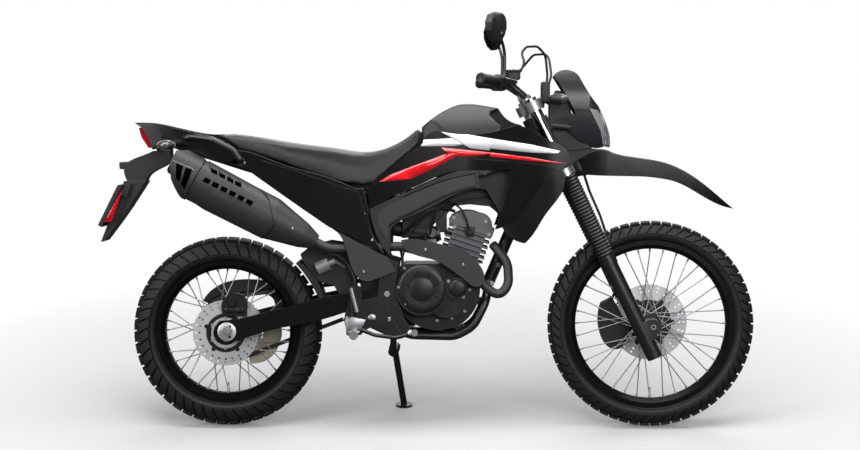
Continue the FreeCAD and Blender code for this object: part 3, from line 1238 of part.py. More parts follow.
def grab_rail():
    # A bar along each side of the tail.
    half = sheet.tail_half
    bars = []
    for hand in (-1, 1):
        points = [spot(u, v) + along_y * half * share for u, v, share in grab_px]
        points = [Vector(place.x, hand * place.y, place.z) for place in points]
        bars.append(bent_tube(f"grab_{hand + 1}", points, "rail_tube * 0.9", sheet.rail_tube * 5))
    together("grab_rail", bars)


grab_px = [(246, 160, 1.45), (245, 159, 1.59), (238, 149, 1.58), (216, 138.5, 1.43), (197, 136, 1.15), (189, 137.5, 1.1), (189, 137.5, 0.912)]
fuel_tank()
shrouds()
together("frame_covers", skin_pair("frame_cover", frame_cover_px))
together("foot_covers", skin_pair("foot_cover", foot_cover_px))
together("side_covers", skin_pair("side_cover", side_cover_px))
seat()
tail()
grab_rail()
skid_rails()


tail_lamp_px = [[(149, 130)], [(152, 133)], [(155, 147.5)], [(150, 147.5)], [(143, 137)], [(140.5, 127.5)]]
bracket_px = [[(172, 160)], [(160, 168.5), (150, 175), (147, 182)], [(129, 182)], [(129, 162), (141, 156), (154, 150.5)],
              [(158, 150.5)], [(158, 130.35)], [(172, 132.25)]]
plate_px = [[(148, 180.5)], [(130, 208), (106, 240.5)], [(102.5, 241)], [(126, 180.5)]]
plate_front_px = [[(126, 184)], [(105, 226)], [(101, 224)], [(121, 184)]]


def rear_lights():
    # The tail lamp under the tip of the tail, and two stalked turn signals.
    lamp = side_pad("tail_lamp", tail_lamp_px, "tail_half * 0.8")
    room = side_pad("lamp_room", tail_px, "tail_half * 2")
    room.Placement = Placement(Vector(-sheet.fit, 0, -sheet.fit), Rotation())
    centre = spot(*rear_signal_px, -sheet.tail_half * 1.75)
    egg = signal("rear_signal", centre, sheet.grip_radius * 3.7)
    stalk = cross_rod("rear_stalk", centre.x, centre.z, centre.y, -sheet.tail_half * stalk_share, "bar_radius * 0.8")
    right = fused("rear_signal_fuse", [egg, stalk])
    together("rear_lights", [cut("tail_lamp_cut", lamp, room), right, mirrored(right)])


rear_signal_px, stalk_share = (166, 145), 0.8365


def plate_bracket():
    # A long mudguard arm under the tail with a blank plate on its back and a reflector below.
    body = side_pad("bracket_body", bracket_px, "plate_half * 0.8")
    panel = side_pad("bracket_panel", plate_px, "plate_half * 1.3")
    plate = side_pad("blank_plate", plate_front_px, "plate_half * 2")
    finish("plate_bracket", fused("bracket_fuse", [body, panel, plate]))


def inner_fender():
    # A curved flap between the tyre and the shock.
    flap = side_pad("inner_fender_body", flap_px, "rear_crown * 2")
    place = spot(*flap_stay_px)
    end = spot(*bridge_low_px).x - sheet.fit
    pieces = [flap]
    for hand in (-1, 1):
        y = hand * sheet.rear_crown * 0.7
        pieces.append(rod(f"flap_stay_{hand + 1}", Vector(place.x, y, place.z), Vector(end, y, place.z), "axle_bore"))
    finish("inner_fender", fused("inner_fender_fuse", pieces))


flap_stay_px = (323.5, 298)
flap_px = [[(300, 259.5)], [(312, 271), (321, 284)], [(327, 301)], [(321.5, 301)], [(312.5, 282.6), (297, 262.2)]]


def rear_caliper():
    at, gap = sheet.rear_disc_side, sheet.disc_thickness / 2 + sheet.running_gap
    near, far = at - gap - sheet.running_gap, sheet.arm_side - sheet.fit
    body = side_pad("rear_caliper_body", rear_caliper_px, f"{far - near}", -(near + far) / 2)
    slot = cross_rod("rear_caliper_slot", 0, sheet.rear_radius, -at - gap, -at + gap, "rear_disc_radius + running_gap")
    finish("rear_caliper", cut("rear_caliper_cut", body, slot))


rear_caliper_px = [[(240, 294), (247, 303)], [(247, 316)], [(223, 316)], [(223, 300), (230, 294)]]


def foot_controls():
    # Rider's rests on their plates, the brake pedal and its cylinder on the right, the shift lever on the left.
    pieces = []
    arm = sheet.arm_side + sheet.arm_thickness
    for hand in (-1, 1):
        side = f"{hand + 1}"
        place = spot(*rest_px)
        plate = side_pad("rest_plate_" + side, rest_plate_px, "panel * 2", hand * (arm + sheet.running_gap + sheet.panel))
        rest = cross_rod("rest_" + side, place.x, place.z, hand * (arm + sheet.running_gap), hand * sheet.peg_reach, "grip_radius * 0.9")
        parts = [plate, rest]
        deep = arm + sheet.running_gap * 2 + sheet.panel * 2
        if hand < 0:
            path = [spot(u, v) - along_y * deep for u, v in brake_pedal_px]
            parts.append(bent_tube("brake_pedal", path, "bar_radius * 0.6", sheet.bar_radius * 6))
            parts.append(cross_rod("brake_pivot", path[0].x, path[0].z, -arm - sheet.running_gap, -deep - sheet.bar_radius, "grip_radius * 0.75"))
            parts.append(cross_rod("brake_pad", path[-1].x, path[-1].z, -deep + sheet.bar_radius, -deep - sheet.bar_radius * 3, "bar_radius"))
            low, high = (spot(u, v) - along_y * deep for u, v in brake_cylinder_px)
            parts.append(rod("brake_cylinder", low, high, "bar_radius"))
        else:
            path = [spot(u, v) + along_y * deep for u, v in shift_lever_px]
            parts.append(bent_tube("shift_lever", path, "bar_radius * 0.5", sheet.bar_radius * 6))
            parts.append(cross_rod("shift_pad", path[-1].x, path[-1].z, deep - sheet.bar_radius, deep + sheet.bar_radius * 3, "bar_radius * 0.8"))
            parts.append(cross_rod("shift_shaft", path[0].x, path[0].z, sheet.engine_half + sheet.fit, deep, "bar_radius * 0.6"))
        pieces.append(fused("foot_fuse_" + side, parts))
    together("foot_controls", pieces)


rest_px, brake_cylinder_px = (357, 329), [(355, 316), (355, 288)]
brake_pedal_px = [(354, 322), (376, 331), (398, 334), (416, 328)]
shift_lever_px = [(413, 315), (428, 322), (448, 322)]
rest_plate_px = [[(351, 286)], [(359, 286), (362, 304), (388, 315)], [(388, 326)], [(372, 327), (361, 335)], [(352, 336)], [(345, 325), (347, 308)]]


def side_stand():
    # A leg on a slanted pivot at the left frame loop, its foot flat on the ground when the machine leans on it.
    pivot = stand_pivot()
    foot = Vector(sheet.foot_x, sheet.foot_y, stand_ground())
    normal = lean.inverted().multVec(along_z)
    sole = new("Part::Cylinder", "stand_foot", Radius="stand_radius * 2.6", Height="panel * 2")
    sole.Placement = Placement(foot, Rotation(along_z, normal))
    leg = rod("stand_leg", pivot, foot + normal * sheet.panel, "stand_radius")
    axis = stand_axis()
    eye = rod("stand_eye", pivot - axis * sheet.stand_radius, pivot + axis * sheet.stand_radius, "stand_radius * 1.7")
    pin_hole = rod("stand_hole", pivot - axis * sheet.stand_radius * 3, pivot + axis * sheet.stand_radius * 3, "axle_bore + fit")
    finish("side_stand", cut("stand_cut", fused("stand_fuse", [sole, leg, eye]), pin_hole))


shock_px = [(359, 298), (388, 243)]
reservoir_px, reservoir_cap_px = [(317, 269), (329, 263.5)], (335, 261)


def rear_shock():
    # The damper leans back from under the air box to the arm's bridge, inside its spring, with a can beside it.
    low, high = (spot(u, v) for u, v in shock_px)
    way = (high - low).normalize()
    spring = rod("shock_spring", low + way * sheet.frame_tube * 3.4, high - way * sheet.frame_tube * 3, "frame_tube * 1.9")
    side = -sheet.rail_side * 0.9
    can_low, can_high, can_cap = (spot(u, v, side) for u, v in reservoir_px + [reservoir_cap_px])
    can = rod("reservoir_can", can_low, can_high, "frame_tube * 1.6")
    cap = rod("reservoir_neck", can_high, can_cap, "frame_tube * 0.7")
    pipe = rod("reservoir_pipe", can_cap, low + way * sheet.frame_tube * 4.5, "axle_bore")
    shock = fused("shock_fuse", [rod("shock_body", low, high, "frame_tube"), spring, can, cap, pipe])
    corner, far = spot(*bridge_low_px), spot(*bridge_high_px)
    gap = Vector(sheet.fit, sheet.arm_side, sheet.fit)
    seat_room = box("shock_seat", corner - gap, far + gap)
    top_room = cross_rod("shock_top", high.x, high.z, -sheet.arm_side, sheet.arm_side, "rail_tube + fit")
    finish("rear_shock", cut("shock_cut", shock, new("Part::Compound", "shock_rooms", Links=[seat_room, top_room])))


def hoses():
    # Brake lines and control cables, each clipped where it starts and ends.
    front = []
    for number, (route, thick) in enumerate(front_routes_px):
        path = [spot(u, v, side * sheet.cowl_half) for u, v, side in route]
        front.append(bent_tube(f"front_cable_{number}", path, f"cable_radius * {thick}", sheet.bar_radius * 4))
    ends = [document.getObject(name) for name in ("control_0", "control_2", "instrument_case", "front_fender_fuse", "front_caliper_fuse")]
    rooms = new("Part::Compound", "cable_ends", Links=ends)
    together("front_cables", [cut(cable.Name + "_cut", cable, rooms) for cable in front])
    path = [spot(u, v, side * sheet.arm_side) for u, v, side in rear_route_px]
    hose = bent_tube("rear_hose_tube", path, "cable_radius", sheet.bar_radius * 3)
    ends = [document.getObject(name) for name in ("brake_cylinder", "reservoir_can", "reservoir_neck")]
    finish("rear_hose", cut("rear_hose_cut", hose, new("Part::Compound", "hose_ends", Links=ends)))


front_routes_px = [([(517, 75, -2.15), (525, 64, -2.05), (521, 53, -1.8), (526, 47, -1.4), (537, 46.5, -0.9), (545, 55, -0.55), (547, 75, -0.42), (546, 90, -0.4)], 1),
                   ([(510, 83, 2.25), (522, 68, 2.1), (533, 55, 1.6), (548, 54, 0.9), (551, 75, 0.6), (547, 90, 0.42)], 1),
                   ([(583, 171, 0.45), (589, 190, 0.64), (600, 215, 0.66), (611, 248, 0.66), (619, 270, 0.64), (617, 288, 0.62), (608, 306, 0.62)], 1.1)]
rear_route_px = [(355, 292, -1.478), (355, 278, -1.47), (347, 262, -1.1), (336, 254, -0.82), (324, 256, -0.74), (323, 267, -0.74)]
rear_lights()
plate_bracket()
inner_fender()
rear_caliper()
foot_controls()
side_stand()
rear_shock()
hoses()
print("steering origin", parked.multVec(steering.Base), "axis", lean.multVec(rake.multVec(along_z)))
print("front axle", parked.multVec(Vector(sheet.wheelbase, 0, sheet.front_radius)), "rear axle", parked.multVec(Vector(0, 0, sheet.rear_radius)))
print("side", lean.multVec(along_y), "stand", parked.multVec(stand_pivot()), lean.multVec(stand_axis()))

document.recompute()
os.makedirs("parts", exist_ok=True)
failed = [thing.Name for thing in document.Objects if {"Invalid", "Error"} & set(thing.State)]
if failed:
    raise RuntimeError("failed: " + ", ".join(failed))
for label, thing in subparts.items():
    shape = thing.Shape
    if shape.isNull() or not shape.isValid():
        raise RuntimeError("bad shape: " + label)
for label, thing in subparts.items():
    thing.Shape.exportStep(f"parts/{label}.step")
    bounds = thing.Shape.BoundBox
    print(f"{label:16s} {len(thing.Shape.Solids):3d} solids", bounds)
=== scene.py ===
import json
import math

import bmesh
import bpy
from mathutils import Matrix, Vector
from mathutils.bvhtree import BVHTree

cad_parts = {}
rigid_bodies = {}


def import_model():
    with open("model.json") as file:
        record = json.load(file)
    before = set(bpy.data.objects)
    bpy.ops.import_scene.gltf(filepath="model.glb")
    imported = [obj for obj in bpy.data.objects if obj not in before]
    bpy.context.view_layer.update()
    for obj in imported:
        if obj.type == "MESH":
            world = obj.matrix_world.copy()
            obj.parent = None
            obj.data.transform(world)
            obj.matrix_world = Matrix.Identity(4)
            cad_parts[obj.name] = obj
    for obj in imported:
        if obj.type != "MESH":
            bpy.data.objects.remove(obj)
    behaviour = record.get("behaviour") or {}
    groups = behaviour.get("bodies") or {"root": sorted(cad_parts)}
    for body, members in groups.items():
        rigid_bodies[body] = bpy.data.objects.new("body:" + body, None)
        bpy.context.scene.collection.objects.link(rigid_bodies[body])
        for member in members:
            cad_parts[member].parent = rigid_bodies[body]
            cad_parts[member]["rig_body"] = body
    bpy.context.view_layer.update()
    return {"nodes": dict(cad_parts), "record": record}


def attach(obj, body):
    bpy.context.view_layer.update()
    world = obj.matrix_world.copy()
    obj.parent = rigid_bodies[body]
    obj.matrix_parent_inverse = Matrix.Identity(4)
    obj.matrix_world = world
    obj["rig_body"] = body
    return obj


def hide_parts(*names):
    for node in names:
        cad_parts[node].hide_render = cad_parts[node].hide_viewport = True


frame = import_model()
scene = bpy.context.scene
nodes = frame["nodes"]
mm = 0.001
origin, toRight, toLeft, upward = (0, 0, 0), (0, -1, 0), (0, 1, 0), (0, 0, 1)
rightSide, leftSide, bothSides = (-1,), (1,), (-1, 1)  # a hand of -1 is the machine's right, which the picture shows
sideName = {-1: "Right", 1: "Left"}

# The machine is drawn upright about its rear axle and leans to its left on the stand.
hubs = {"front": (1.428, 0, 0.3477), "rear": (0.0, 0, 0.320)}
stance = {
    "lean": math.radians(10),
    "origin": (-0.674, -0.202, 0.0009),
    "scale": 1.428 / 422.9,  # metres to a picture point, from the wheelbase
    "rearAxle": (227.5, 331.0),
    "horizon": (470.0, 125.0),
    "distance": 6.7,
}
parked = Matrix.Translation(stance["origin"]) @ Matrix.Rotation(-stance["lean"], 4, "X")


def spot(u, v, y=0.0):  # a picture point carried to the plane y, in the upright drawing, metres
    depth = 1 + y / stance["distance"]
    hu, hv = stance["horizon"]
    x = (hu + (u - hu) * depth - stance["rearAxle"][0]) * stance["scale"]
    z = (stance["rearAxle"][1] - hv - (v - hv) * depth) * stance["scale"] + hubs["rear"][2]
    return Vector((x, y, z))


# Camera, light and floor

studio = {
    "lens": 83.17, "sensor": 36, "clip": 60,
    "look": (2.885, 1.155),  # degrees down and to the rear
    "eye": (0.8195, -6.7, 1.017),
    "floorSize": 40,
    "ground": "#b8b8ba",
    "groundUnseen": "#4a4a4c",  # what the machine sees of the floor, so that its underside stays dark
    "groundGlow": 0.10,
    "nearFloor": 0.9,  # the floor fades to white between these two distances
    "farFloor": 2.1,
    "sky": "#ffffff",
    "skyLight": 0.08,
    "lamps": [  # name, place, aim, width, height, watts
        ("topBox", (0.1, -0.5, 3.3), (0.0, -0.1, 0.6), 4.6, 1.6, 150),
        ("sideBox", (1.6, -4.2, 2.6), (0.1, -0.1, 0.7), 3.2, 1.6, 120),
        ("rearBox", (-3.2, -2.6, 2.2), (-0.3, -0.1, 0.6), 1.6, 2.2, 70),
        ("farBox", (0.6, 3.2, 2.4), (0.0, 0.0, 0.7), 3.6, 1.6, 90),
    ],
}


def linear(hexText):  # an sRGB hex value as a linear colour
    parts = [int(hexText[i:i + 2], 16) / 255 for i in (1, 3, 5)]
    return tuple(p / 12.92 if p <= 0.04045 else ((p + 0.055) / 1.055) ** 2.4 for p in parts) + (1.0,)


def addNode(tree, kind, settings=(), links=()):  # settings of the node or of its sockets, links as (source, socket)
    node = tree.nodes.new(kind)
    for key, value in dict(settings).items():
        if isinstance(key, str) and hasattr(node, key) and key not in node.inputs:
            setattr(node, key, value)
        else:
            node.inputs[key].default_value = value
    for source, socket in links:
        tree.links.new(source, node.inputs[socket])
    return node


def emptied(owner):  # the node tree of a material or world, with nothing in it yet
    owner.use_nodes = True
    owner.node_tree.nodes.clear()
    return owner.node_tree


def linked(name, bm):  # a bmesh handed over to a new object in the scene
    mesh = bpy.data.meshes.new(name)
    bm.to_mesh(mesh)
    bm.free()
    piece = bpy.data.objects.new(name, mesh)
    scene.collection.objects.link(piece)
    return piece


def makeCamera():
    camera = bpy.data.objects.new("camera", bpy.data.cameras.new("camera"))
    scene.collection.objects.link(camera)
    camera.data.sensor_width = studio["sensor"]
    camera.data.lens = studio["lens"]
    camera.data.clip_end = studio["clip"]
    down, back = (math.radians(angle) for angle in studio["look"])
    aim = Matrix.Rotation(back, 4, "Z") @ Matrix.Rotation(math.radians(90) - down, 4, "X")
    camera.matrix_world = parked @ Matrix.Translation(studio["eye"]) @ aim
    scene.camera = camera


def makeLamps():
    for name, place, aim, width, height, watts in studio["lamps"]:
        data = bpy.data.lights.new(name, "AREA")
        data.shape, data.size, data.size_y, data.energy = "RECTANGLE", width, height, watts
        lamp = bpy.data.objects.new(name, data)
        scene.collection.objects.link(lamp)
        lamp.location = place
        lamp.rotation_euler = (Vector(aim) - Vector(place)).to_track_quat("-Z", "Y").to_euler()


def seenOrLit(tree, lit, seen, output):  # one look for the camera and another for the light that strays
    path = addNode(tree, "ShaderNodeLightPath")
    mix = addNode(tree, "ShaderNodeMixShader", (),
                  [(path.outputs["Is Camera Ray"], 0), (lit.outputs[0], 1), (seen.outputs[0], 2)])
    addNode(tree, output, (), [(mix.outputs[0], "Surface")])


def makeSky():
    scene.world = scene.world or bpy.data.worlds.new("world")
    tree = emptied(scene.world)
    lit, seen = (addNode(tree, "ShaderNodeBackground", {"Color": linear(studio["sky"]), "Strength": strength})
                 for strength in (studio["skyLight"], 1.0))
    seenOrLit(tree, lit, seen, "ShaderNodeOutputWorld")


def makeFloor():
    bm = bmesh.new()
    bmesh.ops.create_grid(bm, x_segments=2, y_segments=2, size=studio["floorSize"])
    floor = linked("floor", bm)
    paint = bpy.data.materials.new("paleFloor")
    tree = emptied(paint)
    dull, matt = (addNode(tree, "ShaderNodeBsdfDiffuse", {"Color": linear(studio[tone])})
                  for tone in ("groundUnseen", "ground"))
    glow, white = (addNode(tree, "ShaderNodeEmission", {"Color": linear(studio["sky"]), "Strength": strength})
                   for strength in (studio["groundGlow"], 1.0))
    near = addNode(tree, "ShaderNodeAddShader", (), [(matt.outputs[0], 0), (glow.outputs[0], 1)])
    place = addNode(tree, "ShaderNodeTexCoord")
    reach = addNode(tree, "ShaderNodeVectorMath", {"operation": "LENGTH"}, [(place.outputs["Object"], 0)])
    fade = addNode(tree, "ShaderNodeMapRange", {"From Min": studio["nearFloor"], "From Max": studio["farFloor"]},
                   [(reach.outputs["Value"], "Value")])
    pale = addNode(tree, "ShaderNodeMixShader", (),
                   [(fade.outputs[0], 0), (near.outputs[0], 1), (white.outputs[0], 2)])
    seenOrLit(tree, dull, pale, "ShaderNodeOutputMaterial")
    floor.data.materials.append(paint)


makeCamera()
makeLamps()
makeSky()
makeFloor()
scene.view_settings.view_transform = "Standard"
print("studio ready")


# Materials. Sizes are in millimetres of the real surface.

finishes = {  # two colours, roughness from and to, metallic, size of patches, of grain, its relief, other sockets
    # Injection moulded ABS with a clear gloss: deep black, a faint orange peel.
    "glossBlackAbs": ("#070708", "#0b0b0d", 0.16, 0.24, 0, 90, 9, 0.02,
                      {"Coat Weight": 0.6, "Coat Roughness": 0.06}),
    # Grained polypropylene: dark grey, low sheen, a spark eroded texture drawn at twice its half millimetre to show.
    "grainedGreyPolypropylene": ("#242528", "#2d2e32", 0.48, 0.6, 0, 70, 0.9, 0.12),
    # Finely sanded dark polypropylene over the tank, a shade darker than the frame pads.
    "tankCoverPolypropylene": ("#161719", "#1d1e20", 0.34, 0.46, 0, 90, 1.6, 0.06),
    # Smooth matte black polypropylene of the housings behind the panels.
    "matteBlackPolypropylene": ("#141416", "#1b1b1e", 0.48, 0.6, 0, 50, 1.1, 0.08),
    # Heat resistant silicone paint over steel: charcoal, dull, a little grainy.
    "heatPaint": ("#232427", "#2a2b2e", 0.44, 0.54, 0, 60, 1.4, 0.05),
    # Gloss black enamel over steel, as on the swingarm.
    "glossBlackPaint": ("#08080a", "#0c0c0e", 0.16, 0.24, 0, 80, 6, 0.02,
                        {"Coat Weight": 0.5, "Coat Roughness": 0.1}),
    # Dark polycarbonate screen over the lamp: smooth, satin.
    "smokedScreen": ("#1c1d20", "#232427", 0.26, 0.34, 0, 70, 8, 0.02),
    # Reflective white sheet of the blank plate.
    "blankPlate": ("#e4e4e2", "#d8d8d6", 0.3, 0.4, 0, 30, 2, 0.02),
    # Grained vinyl of the seat's top: fine pebbles, soft highlights along the edges from its sheen, and a lighter
    # colour than the flanks, which is painted light from above.
    "pebbledVinylLitTop": ("#2a2b2d", "#343538", 0.5, 0.66, 0, 45, 2.2, 0.35,
                     {"Sheen Weight": 0.12, "Sheen Roughness": 0.5}),
    # Smoother vinyl of the seat's flanks, its darker colour painted shade where the light from above does not reach.
    "flankVinylShaded": ("#0c0c0d", "#121214", 0.42, 0.56, 0, 45, 1.6, 0.15),
    # Vulcanised tyre rubber: near black, a bloom of grey where it is worn.
    "tyreRubber": ("#0d0d0d", "#161616", 0.55, 0.75, 0, 26, 1.6, 0.15),
    # Extruded and moulded rubber of hoses, grips and bellows.
    "mouldingRubber": ("#0c0c0e", "#131315", 0.42, 0.56, 0, 30, 1.4, 0.06),
    # Powder coated steel tube: satin black with a fine orange peel.
    "satinBlackPowderCoat": ("#101012", "#17171a", 0.3, 0.4, 0, 60, 1.5, 0.04,
                             {"Coat Weight": 0.25, "Coat Roughness": 0.3}),
    # Black anodised rim section, brighter than paint.
    "blackAnodisedAluminium": ("#17171a", "#202024", 0.22, 0.3, 0.7, 80, 2, 0.01),
    # Bead blasted, clear anodised aluminium of the clamps and pedals.
    "silverCastAluminium": ("#b9babd", "#9fa1a4", 0.32, 0.46, 1, 24, 1.2, 0.06),
    # Painted die casting of the engine cases: charcoal with a metallic fleck.
    "charcoalCasePaint": ("#1f2023", "#2a2b2e", 0.32, 0.44, 0.4, 20, 1.6, 0.05),
    # Raw cast aluminium of the cylinder: pale grey, sandy.
    "sandCastAluminium": ("#77797b", "#55575a", 0.4, 0.56, 0.8, 14, 1.4, 0.12),
    # Stainless disc ground round its axle.
    "groundStainless": ("#dcdddf", "#c4c6c8", 0.34, 0.46, 0.55, 16, 0.8, 0.01),
    # Hard chromed tube: a near mirror with a faint tint.
    "hardChrome": ("#d4d5d8", "#c6c8cb", 0.08, 0.14, 1, 40, 6, 0.002),
    # Zinc plated spokes, nuts and axles.
    "zincPlatedSteel": ("#b3b4b6", "#8f9194", 0.3, 0.42, 0.6, 12, 2, 0.01),
    # Oiled roller chain: grey steel with dark oil in the joints.
    "oiledChainSteel": ("#6a665f", "#3c3a36", 0.34, 0.5, 0.9, 6, 1.5, 0.03),
    # Natural nylon of the chain guide: pale, waxy.
    "beigeNylon": ("#d2c9b4", "#bdb49e", 0.5, 0.62, 0, 20, 1.2, 0.04),
    # Red acrylic of the tail light and reflectors, with ribs inside.
    "redAcrylic": ("#c8101c", "#a50812", 0.08, 0.14, 0, 10, 2.5, 0.12, {"Coat Weight": 0.8}),
    # Smoked polycarbonate of the turn signals: brown depth under a gloss.
    "smokedPolycarbonate": ("#3a3a3c", "#55504c", 0.08, 0.16, 0, 12, 3, 0.1, {"Coat Weight": 0.8}),
    # Clear polycarbonate of the headlight: colourless and glossy.
    "clearPolycarbonate": ("#f2f5f7", "#e6eaee", 0.03, 0.06, 0, 50, 20, 0.01,
                           {"Transmission Weight": 0.94, "IOR": 1.586}),
    # Coated glass of the mirrors: a plain mirror.
    "silveredGlass": ("#dfe3e6", "#d5dade", 0.02, 0.04, 1, 90, 30, 0.001),
    # Vacuum chromed plastic of the lamp bowl, bright and slightly soft.
    "vacuumChromedPlastic": ("#f0f1f3", "#dfe1e4", 0.16, 0.24, 0.75, 40, 14, 0.02),
    # Painted shade: a dull near black laid over openings, grooves and joints that lead into darkness.
    "ventShadow": ("#020202", "#040404", 0.85, 0.95, 0, 30, 4, 0.01, {"Specular IOR Level": 0.0}),
    # Display window: near black glass.
    "displayGlass": ("#0a0c0f", "#10141a", 0.05, 0.1, 0, 50, 20, 0.002, {"Coat Weight": 1.0}),
    # Printed vinyl film: even colour under a clear coat.
    "whiteFilm": ("#f3f3f3", "#e8e8ea", 0.14, 0.2, 0, 60, 9, 0.01, {"Coat Weight": 0.6}),
    "redFilm": ("#ee1c25", "#dd1420", 0.14, 0.2, 0, 60, 9, 0.01, {"Coat Weight": 0.6}),
}
pebbled = ("grainedGreyPolypropylene", "pebbledVinylLitTop", "flankVinylShaded")  # these have cells, the others a soft grain


def makePaint(name, base, shade, smoothest, roughest, metallic, mottle, grain, bump, extra=()):
    # Colour and roughness run from one value to the other over patches the size of mottle; grain is the fine relief.
    material = bpy.data.materials.new(name)
    tree = emptied(material)
    where = addNode(tree, "ShaderNodeTexCoord").outputs["Object"]
    patches = addNode(tree, "ShaderNodeTexNoise", {"Scale": 1 / (mottle * mm), "Detail": 4.0, "Roughness": 0.6},
                      [(where, "Vector")]).outputs["Fac"]
    colour = addNode(tree, "ShaderNodeMix", {"data_type": "RGBA", 6: linear(base), 7: linear(shade)}, [(patches, 0)])
    roughness = addNode(tree, "ShaderNodeMapRange", {"To Min": smoothest, "To Max": roughest}, [(patches, "Value")])
    shader = addNode(tree, "ShaderNodeBsdfPrincipled", {"Metallic": metallic, **dict(extra)},
                     [(colour.outputs[2], "Base Color"), (roughness.outputs[0], "Roughness")])
    if name in pebbled:
        relief = addNode(tree, "ShaderNodeTexVoronoi", {"Scale": 1 / (grain * mm)}, [(where, "Vector")])
    else:
        relief = addNode(tree, "ShaderNodeTexNoise", {"Scale": 1 / (grain * mm), "Detail": 3.0}, [(where, "Vector")])
    height = relief.outputs[0]
    raised = addNode(tree, "ShaderNodeBump", {"Strength": 1.0, "Distance": bump * mm}, [(height, "Height")])
    tree.links.new(raised.outputs[0], shader.inputs["Normal"])
    addNode(tree, "ShaderNodeOutputMaterial", (), [(shader.outputs[0], "Surface")])
    return material


paints = {name: makePaint(name, *values) for name, values in finishes.items()}

wearing = {
    "glossBlackAbs": ["front_fender", "shrouds", "side_covers", "tail_fender"],
    "grainedGreyPolypropylene": ["headlight_cowl", "frame_covers", "fuel_tank", "foot_covers"],
    "heatPaint": ["exhaust_shields", "silencer", "exhaust_pipe"],
    "matteBlackPolypropylene": ["instrument", "inner_fender", "plate_bracket", "hand_controls", "intake", "mirrors"],
    "tyreRubber": ["front_tyre", "rear_tyre"],
    "mouldingRubber": ["fork_bellows", "front_cables", "rear_hose"],
    "satinBlackPowderCoat": ["main_frame", "swingarm", "fork_lowers", "handlebar", "grab_rail", "skid_rails",
                             "side_stand", "front_caliper", "rear_caliper", "front_hub", "rear_hub"],
    "blackAnodisedAluminium": ["front_rim", "rear_rim"],
    "silverCastAluminium": ["triple_clamps", "foot_controls"],
    "charcoalCasePaint": ["crankcase", "engine_covers"],
    "sandCastAluminium": ["cylinder"],
    "groundStainless": ["front_disc", "rear_disc", "rear_sprocket"],
    "hardChrome": ["fork_stanchions"],
    "zincPlatedSteel": ["front_axle", "rear_axle", "rear_shock", "front_spokes", "rear_spokes"],
    "oiledChainSteel": ["drive_chain"],
    "beigeNylon": ["chain_guards"],
    "redAcrylic": ["rear_lights"],
    "smokedPolycarbonate": ["front_signals"],
    "clearPolycarbonate": ["headlight_lens"],
    "pebbledVinylLitTop": ["seat"],
}


def wear(piece, paint):
    piece.data.materials.clear()
    piece.data.materials.append(paints[paint])


for paint, names in wearing.items():
    for name in names:
        wear(nodes[name], paint)
print("materials ready")


# Tools for the pieces

def applyAll(piece):  # its modifiers made part of its mesh
    depsgraph = bpy.context.evaluated_depsgraph_get()
    mesh = bpy.data.meshes.new_from_object(piece.evaluated_get(depsgraph), depsgraph=depsgraph)
    piece.modifiers.clear()
    piece.data = mesh


def meshPiece(name, bm, paint, body="chassis", replaced=(), smooth=40, weigh=False):
    # A finished piece of a bmesh drawn upright; smooth is the angle in degrees from which an edge stays sharp.
    bm.transform(parked)
    piece = linked(name, bm)
    if smooth:
        piece.data.polygons.foreach_set("use_smooth", [True] * len(piece.data.polygons))
        piece.data.set_sharp_from_angle(angle=math.radians(smooth))
    piece.data.materials.append(paints[paint])
    if weigh:
        even = piece.modifiers.new("even", "WEIGHTED_NORMAL")
        even.keep_sharp = True
        applyAll(piece)
    if replaced:
        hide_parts(*replaced)
    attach(piece, body)
    return piece


def fromMesh(mesh):
    bm = bmesh.new()
    bm.from_mesh(mesh)
    return bm


def uprightCopy(node):  # a node's own surface, merged, back in the upright drawing
    bm = fromMesh(nodes[node].data)
    bm.transform(parked.inverted())
    bmesh.ops.remove_doubles(bm, verts=bm.verts, dist=1e-5)
    return bm


def gather(parts):  # several forms as one, which takes them over
    whole, scratch = bmesh.new(), bpy.data.meshes.new("scratch")
    for part in parts:
        part.to_mesh(scratch)
        part.free()
        whole.from_mesh(scratch)
    bpy.data.meshes.remove(scratch)
    return whole


def aimed(place, way):  # carries a form from the upright axis to a place and a direction
    return Matrix.Translation(place) @ Vector(way).to_track_quat("Z", "Y").to_matrix().to_4x4()


def bevelled(bm, edges, width, segments=2):  # edges rounded over
    bmesh.ops.bevel(bm, geom=edges, offset=width, segments=segments, profile=0.5, affect="EDGES", material=-1,
                    clamp_overlap=True)


def flattened(bm, degrees):  # small faces that lie in one plane made one
    bmesh.ops.dissolve_limit(bm, angle_limit=math.radians(degrees), verts=bm.verts[:], edges=bm.edges[:])


def sharpEdges(bm, degrees):  # edges where two faces turn by more than this
    return [e for e in bm.edges if e.calc_face_angle(0) > math.radians(degrees)]


def faceOut(bm):
    bmesh.ops.recalc_face_normals(bm, faces=bm.faces)


def closeUp(bm):  # seams and poles of a spun form merged, faces outwards
    bmesh.ops.remove_doubles(bm, verts=bm.verts, dist=1e-6)
    faceOut(bm)


def newVerts(grown):  # the corners that an extrusion has made
    return [part for part in grown["geom"] if isinstance(part, bmesh.types.BMVert)]


def lathe(profile, place, way, steps=24, hollow=False):
    # A turned part: (radius, height) pairs in mm from the axis out and back; a hollow one closes on itself.
    bm = bmesh.new()
    verts = [bm.verts.new((r * mm, 0, h * mm)) for r, h in profile]
    edges = [bm.edges.new(pair) for pair in zip(verts, verts[1:])]
    if hollow:
        edges.append(bm.edges.new((verts[-1], verts[0])))
    bmesh.ops.spin(bm, geom=verts + edges, cent=origin, axis=upward, angle=math.tau, steps=steps, use_merge=True)
    closeUp(bm)
    bm.transform(aimed(place, way))
    return bm


def slab(low, high, edge=0.0, segments=2):  # a block between two corners with its edges rounded
    bm = bmesh.new()
    bmesh.ops.create_cube(bm, size=1)
    low, high = Vector(low), Vector(high)
    bmesh.ops.scale(bm, vec=high - low, verts=bm.verts)
    bmesh.ops.translate(bm, vec=(low + high) / 2, verts=bm.verts)
    if edge:
        bevelled(bm, bm.edges[:], edge, segments)
    return bm


